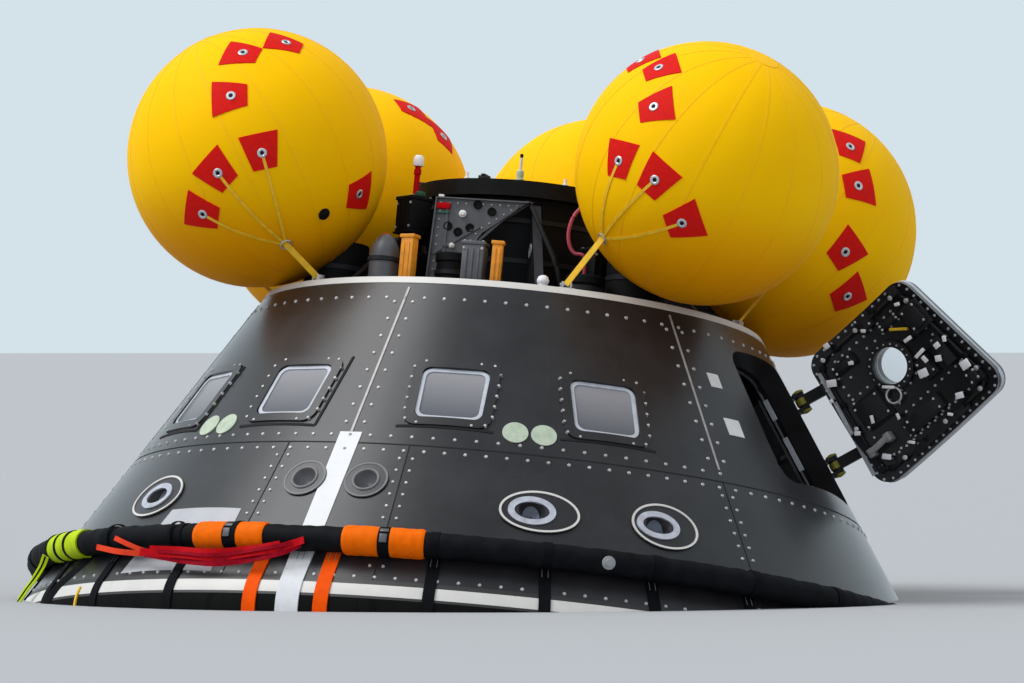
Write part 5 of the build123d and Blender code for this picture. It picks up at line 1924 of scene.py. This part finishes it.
wire = hatch_wire(oval_loop(0.118, 0.118, 24, y=WINDOW_RISE), WALL + 0.033)
bolt_rows("window_rim_screws", [wire + wire[:1]], 0.037, 0.006, 0.006, material=SILVER, body="side_hatch")
outline = walked(hatch_loop(0.0150, 0.0950))
hatch_piece("hatch_seal", [hatch_strip(outline, 0.055, flat_section(0.030, -0.004, 0.004), -1)], SEALANT)
line = hatch_line([(HALF_FOOT - 0.028, -HATCH_RISE + 0.11), (HALF_TOP - 0.028, HATCH_RISE - 0.11)], 0.0)
hatch_piece("edge_seal", [trim(line, flat_section(0.022, -0.002, 0.006))], SEALANT)

# %% [markdown]
# ## Hinges and the mouth of the hatch
#
# Each hinge has a pin in two lugs, with olive plated bushings at its ends. Inside the mouth a seal runs round
# the frame, and bright latch plates wait for the rollers.

# %% Bushings, mouth seal and keeper plates
ARM_HEIGHTS = (1.25, 1.58)
CAP = [(0.033, 0.0), (0.033, 0.007), (0.026, 0.012), (0.012, 0.012), (0.012, 0.016), (0.001, 0.016)]
bushings, cuffs = [], []
for height in ARM_HEIGHTS:
    middle = HINGE + HINGE_AXIS * ((height - HATCH_MIDDLE) / cos(SLOPE))
    bushings += [spun(CAP, middle + HINGE_AXIS * (side * 0.0505), HINGE_AXIS * side, 28) for side in (-1, 1)]
    cuffs.append(ring(band_profile(0.0302, 0.0345, 0.020, 0.018), middle, HINGE_AXIS, 28))
piece("hinge_bushings", bushings, OLIVE)
piece("arm_cuffs", cuffs, OLIVE, body="side_hatch")
keepers = []
for low, high in ((-0.30, -0.20), (-0.10, 0.10), (0.21, 0.33)):
    for side in (-1, 1):
        path = []
        for y in spaced(low, high, 4):
            x = (HALF_FOOT + (HALF_TOP - HALF_FOOT) * (y + HATCH_RISE) / (2 * HATCH_RISE)) * side
            path.append(closed_spot(x, y, 0.132)[0])
        keepers.append(sweep(path, -across(90) * side, flat_section(0.026, -0.003, 0.012)))
piece("latch_keepers", keepers, SEALANT)
seal = hatch_strip(walked(hatch_loop(0.0, 0.110)), 0.140, flat_section(0.012, -0.003, 0.004), 1)
piece("mouth_seal", [seal], GREY)

# %% [markdown]
# ## Cabin wall
#
# The cabin is a pressure shell of its own inside the tiled cone. What can be seen of it through the hatch is its
# pale lining, made of flat panels with gaps between them and a rail at half height.

# %% Lining
LINER_DEPTH = 0.150
panels, rails = [], []
for bearing in range(112, 250, 13):
    for low, high in ((0.50, 1.08), (1.12, 1.68)):
        panels.append(slab(*(
            [[on_cone(b, h, -depth) for b in spaced(bearing, bearing + 12.2, 4)] for h in spaced(low, high, 4)]
            for depth in (LINER_DEPTH + 0.016, LINER_DEPTH)
        )))
    for height in (0.80, 1.40):
        bearings = spaced(bearing + 1, bearing + 11, 4)
        path = [on_cone(b, height, -LINER_DEPTH - 0.045) for b in bearings]
        rails.append(sweep(path, UP, circle_section(0.010, 8)))
        for j in (0, 4):
            foot = path[j] + outward(bearing) * 0.018
            rails.append(block(foot, (0.024, 0.024, 0.050), hull_axes(bearings[j]), 0.003))
piece("cabin_lining", panels, PANEL_GREY)
piece("cabin_rails", rails, GREY)

# %% [markdown]
# ## Cushions
#
# A seat cushion is foam in a sewn cover. It is fullest in its middle, its sides pull in between the corners, and
# sewn channels cross it. It could be simulated, but the form is simple enough to be written as a formula.

# %% A cushion maker
def in_cabin(x, y, height):
    """A point by the frame's x and y, and its height."""
    return Vector((x, y, height - WATERLINE))


def cushion(middle, size, axes, channels):
    """A crowned cushion that stands on its underside: flat below, full above, with sewn channels."""
    width, length, thick = size
    lower, upper = [], []
    for v in spaced(-1, 1, 40):
        low_row, high_row = [], []
        for u in spaced(-1, 1, 20):
            x = width / 2 * u * (1 - 0.035 * (1 - v * v))
            y = length / 2 * v * (1 - 0.030 * (1 - u * u))
            crown = (1 - abs(u) ** 5) * (1 - abs(v) ** 9)
            sewn = abs(cos(pi * channels * (v + 1) / 2)) ** 10 if abs(v) < 0.98 else 0.0
            rise = thick * (0.42 + 0.58 * crown - 0.16 * sewn * crown)
            low_row.append(middle + axes[0] * x + axes[1] * y)
            high_row.append(low_row[-1] + axes[2] * rise)
        lower.append(low_row)
        upper.append(high_row)
    return slab(lower, upper)


X_AXIS, Y_AXIS = Vector((1, 0, 0)), Vector((0, 1, 0))
FLAT = (X_AXIS, Y_AXIS, UP)
UPRIGHT = (X_AXIS, UP, Y_AXIS)
print("a cushion has", len(cushion(in_cabin(0, 0, 1), (0.4, 0.5, 0.05), FLAT, 3)[0]), "points")

# %% [markdown]
# ## Seats
#
# The crew lie on their backs with their knees up. Each seat is a thin shell on a pedestal, with a cushion for
# the back, one for the thighs, one for the calves and a small one for the head.

# %% Seat shells, cushions and belts
SEAT_WIDTH = 0.480
BACK_LOW, BACK_HIGH, THIGH_TOP, FLOOR_HIGH = 0.840, 0.910, 1.260, 0.290
BUCKLE = [(0.030, 0.0), (0.030, 0.012), (0.022, 0.018), (0.001, 0.018)]
BELT_SECTION = flat_section(0.042, 0.0, 0.003)
BELT_HEIGHT = BACK_HIGH + 0.012
shells, belts = [], []
for number, (row, x) in enumerate(((-0.300, -0.310), (-0.300, 0.310), (0.640, -0.310), (0.640, 0.310)), 1):
    knee = row - 0.400
    for y, height, size, axes, bevel in (
        (row, BACK_LOW + 0.014, (SEAT_WIDTH, 0.800, 0.028), FLAT, 0.008),
        (knee + 0.014, (BACK_LOW + THIGH_TOP) / 2, (SEAT_WIDTH, THIGH_TOP - BACK_LOW, 0.028), UPRIGHT, 0.008),
        (knee - 0.150, THIGH_TOP - 0.056, (SEAT_WIDTH, 0.300, 0.028), FLAT, 0.008),
        (row, (FLOOR_HIGH + BACK_LOW) / 2, (0.300, BACK_LOW - FLOOR_HIGH, 0.150), UPRIGHT, 0.012),
        (row, FLOOR_HIGH + 0.010, (0.460, 0.156, 0.020), FLAT, 0.005),
    ):
        shells.append(block(in_cabin(x, y, height), size, axes, bevel))
    for side in (-1, 1):
        rail = [in_cabin(x + side * 0.226, row + y, BACK_LOW + 0.048) for y in (-0.32, 0.38)]
        shells.append(pipe(rail, 0.011))
    shapes = [cushion(in_cabin(x, y, height), size, axes, channels) for y, height, size, axes, channels in (
        (row - 0.045, BACK_LOW + 0.028, (0.420, 0.560, 0.050), FLAT, 5),
        (row + 0.315, BACK_LOW + 0.028, (0.270, 0.150, 0.052), FLAT, 1),
        (knee + 0.028, 1.075, (0.420, 0.330, 0.044), UPRIGHT, 3),
        (knee - 0.150, THIGH_TOP - 0.042, (0.420, 0.280, 0.044), FLAT, 2),
    )]
    pads = piece("seat_cushions_%d" % number, shapes, SEAT, smooth=60)
    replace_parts(pads, "crew_seats")
    for side in (-1, 1):
        ends = ((0.090, 0.260), (0.075, 0.10), (0.020, -0.130))
        line = smooth_line([in_cabin(x + side * s, row + y, BELT_HEIGHT) for s, y in ends], 6)
        belts.append(sweep(line, UP, BELT_SECTION))
        ends = ((0.21, BELT_HEIGHT - 0.02), (0.09, BELT_HEIGHT), (0.02, BELT_HEIGHT))
        belts.append(sweep([in_cabin(x + side * s, row - 0.145, height) for s, height in ends], UP, BELT_SECTION))
    belts.append(spun(BUCKLE, in_cabin(x, row - 0.145, BELT_HEIGHT), UP, 24))
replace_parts(piece("seat_shells", shells, GREY), "crew_seats")
piece("seat_belts", belts, PALE_GREY)

# %% [markdown]
# ## Display console
#
# Three screens and two rows of keys face the crew. The screens are off, so they are only dark glass in a bezel,
# and the keys are bare.

# %% Screens and keys
CONSOLE_FACE = -0.605
shapes, screens, keys = [], [], []
for x in (-0.290, 0.0, 0.290):
    middle = in_cabin(x, CONSOLE_FACE, 1.480)
    shapes.append(block(middle + Y_AXIS * 0.004, (0.270, 0.230, 0.014), UPRIGHT, 0.006))
    screens.append(block(middle + Y_AXIS * 0.010, (0.232, 0.192, 0.008), UPRIGHT, 0.003))
for row in range(2):
    for i in range(18):
        spot = in_cabin(-0.408 + 0.048 * i, CONSOLE_FACE + 0.004, 1.345 - 0.030 * row)
        keys.append(block(spot, (0.026, 0.016, 0.010), UPRIGHT, 0.003, 1))
piece("screen_bezels", shapes, GREY)
piece("screens", screens, SCREEN)
piece("console_keys", keys, PALE_GREY)

# %% [markdown]
# ## Under the heat shield
#
# Each of the six pads under the shield, where the service module was bolted on, has a ring of ablator and a
# bright sleeve for its bolt. They can be seen only from below.

# %% Pad rings
SHIELD_RADIUS, PAD_ORBIT = 6.035, 1.800
SPHERE_HEIGHT = sqrt((SHIELD_RADIUS - SHOULDER) ** 2 - (WIDEST - SHOULDER) ** 2)
PAD_RING = [(0.118, -0.006), (0.120, 0.003), (0.130, 0.003), (0.132, -0.006)]
PAD_SLEEVE = [(0.031, -0.006), (0.032, 0.003), (0.044, 0.003), (0.046, -0.006)]
PAD_HEIGHT = SPHERE_HEIGHT - sqrt(SHIELD_RADIUS**2 - PAD_ORBIT**2)
pad_rings, pad_sleeves = [], []
for bearing in range(0, 360, 60):
    spot = at(bearing, PAD_ORBIT, PAD_HEIGHT)
    out = (spot - at(0, 0, SPHERE_HEIGHT)).normalized()
    pad_rings.append(ring(PAD_RING, spot, out, 40))
    pad_sleeves.append(ring(PAD_SLEEVE, spot, out, 28))
piece("pad_rings", pad_rings, CHAR)
piece("pad_sleeves", pad_sleeves, SILVER)

# %% [markdown]
# ## Floor, light and background
#
# A pale floor lies at the waterline. It is tipped in this frame, because the capsule floats tipped back. Seen
# from below it is clear, so that the heat shield can be looked at. One broad light from the upper left and a
# plain pale sky do the rest.

# %% Floor, sun and sky
FLOOR_UP = Vector((-0.024, -0.172, 0.985)).normalized()
FLOOR_HALF = 6000.0
FLOOR_COLOUR = (0.38, 0.395, 0.41)
SKY_COLOUR = (0.66, 0.76, 0.82)
SUN_DIRECTION = Vector((0.62, 0.50, -0.92))
SUN_POWER = 2.22
SKY_LIGHT = 0.76


def floor_material():
    """Plain and pale from above, clear from below."""
    material = bpy.data.materials.new("floor")
    material.use_nodes = True
    tree = material.node_tree
    shader = feed(tree, tree.nodes["Principled BSDF"], {"Base Color": (*FLOOR_COLOUR, 1), "Roughness": 0.85})
    mix = add_node(tree, "ShaderNodeMixShader", {
        0: add_node(tree, "ShaderNodeNewGeometry").outputs["Backfacing"],
        1: shader.outputs["BSDF"],
        2: add_node(tree, "ShaderNodeBsdfTransparent").outputs["BSDF"],
    })
    feed(tree, tree.nodes["Material Output"], {"Surface": mix.outputs["Shader"]})
    return material


floor_x = FLOOR_UP.orthogonal().normalized()
floor_y = FLOOR_UP.cross(floor_x)
corners = [floor_x * (x * FLOOR_HALF) + floor_y * (y * FLOOR_HALF) for x, y in ((-1, -1), (1, -1), (1, 1), (-1, 1))]
floor_mesh = bpy.data.meshes.new("floor")
floor_mesh.from_pydata([tuple(c) for c in corners], [], [(0, 1, 2, 3)])
floor_mesh.materials.append(floor_material())
floor = new_object("floor", floor_mesh)

sun_data = bpy.data.lights.new("sun", "SUN")
sun_data.energy = SUN_POWER
sun_data.angle = radians(35)
sun = new_object("sun", sun_data)
sun.rotation_mode = "QUATERNION"
sun.rotation_quaternion = SUN_DIRECTION.to_track_quat("-Z", "Y")

world = bpy.data.worlds.new("sky")
bpy.context.scene.world = world
world.use_nodes = True
tree = world.node_tree
seen = feed(tree, tree.nodes["Background"], {"Color": (*SKY_COLOUR, 1), "Strength": 1.0})
lit = add_node(tree, "ShaderNodeBackground", {"Color": (0.92, 0.95, 1.0, 1), "Strength": SKY_LIGHT})
rays = add_node(tree, "ShaderNodeLightPath").outputs
direct = maths(tree, "MAXIMUM", rays["Is Camera Ray"], rays["Is Transmission Ray"])
direct = maths(tree, "MAXIMUM", direct, rays["Is Glossy Ray"])
mix = add_node(tree, "ShaderNodeMixShader", {0: direct, 1: lit.outputs["Background"], 2: seen.outputs["Background"]})
feed(tree, tree.nodes["World Output"], {"Surface": mix.outputs["Shader"]})
bpy.context.scene.view_settings.view_transform = "Standard"
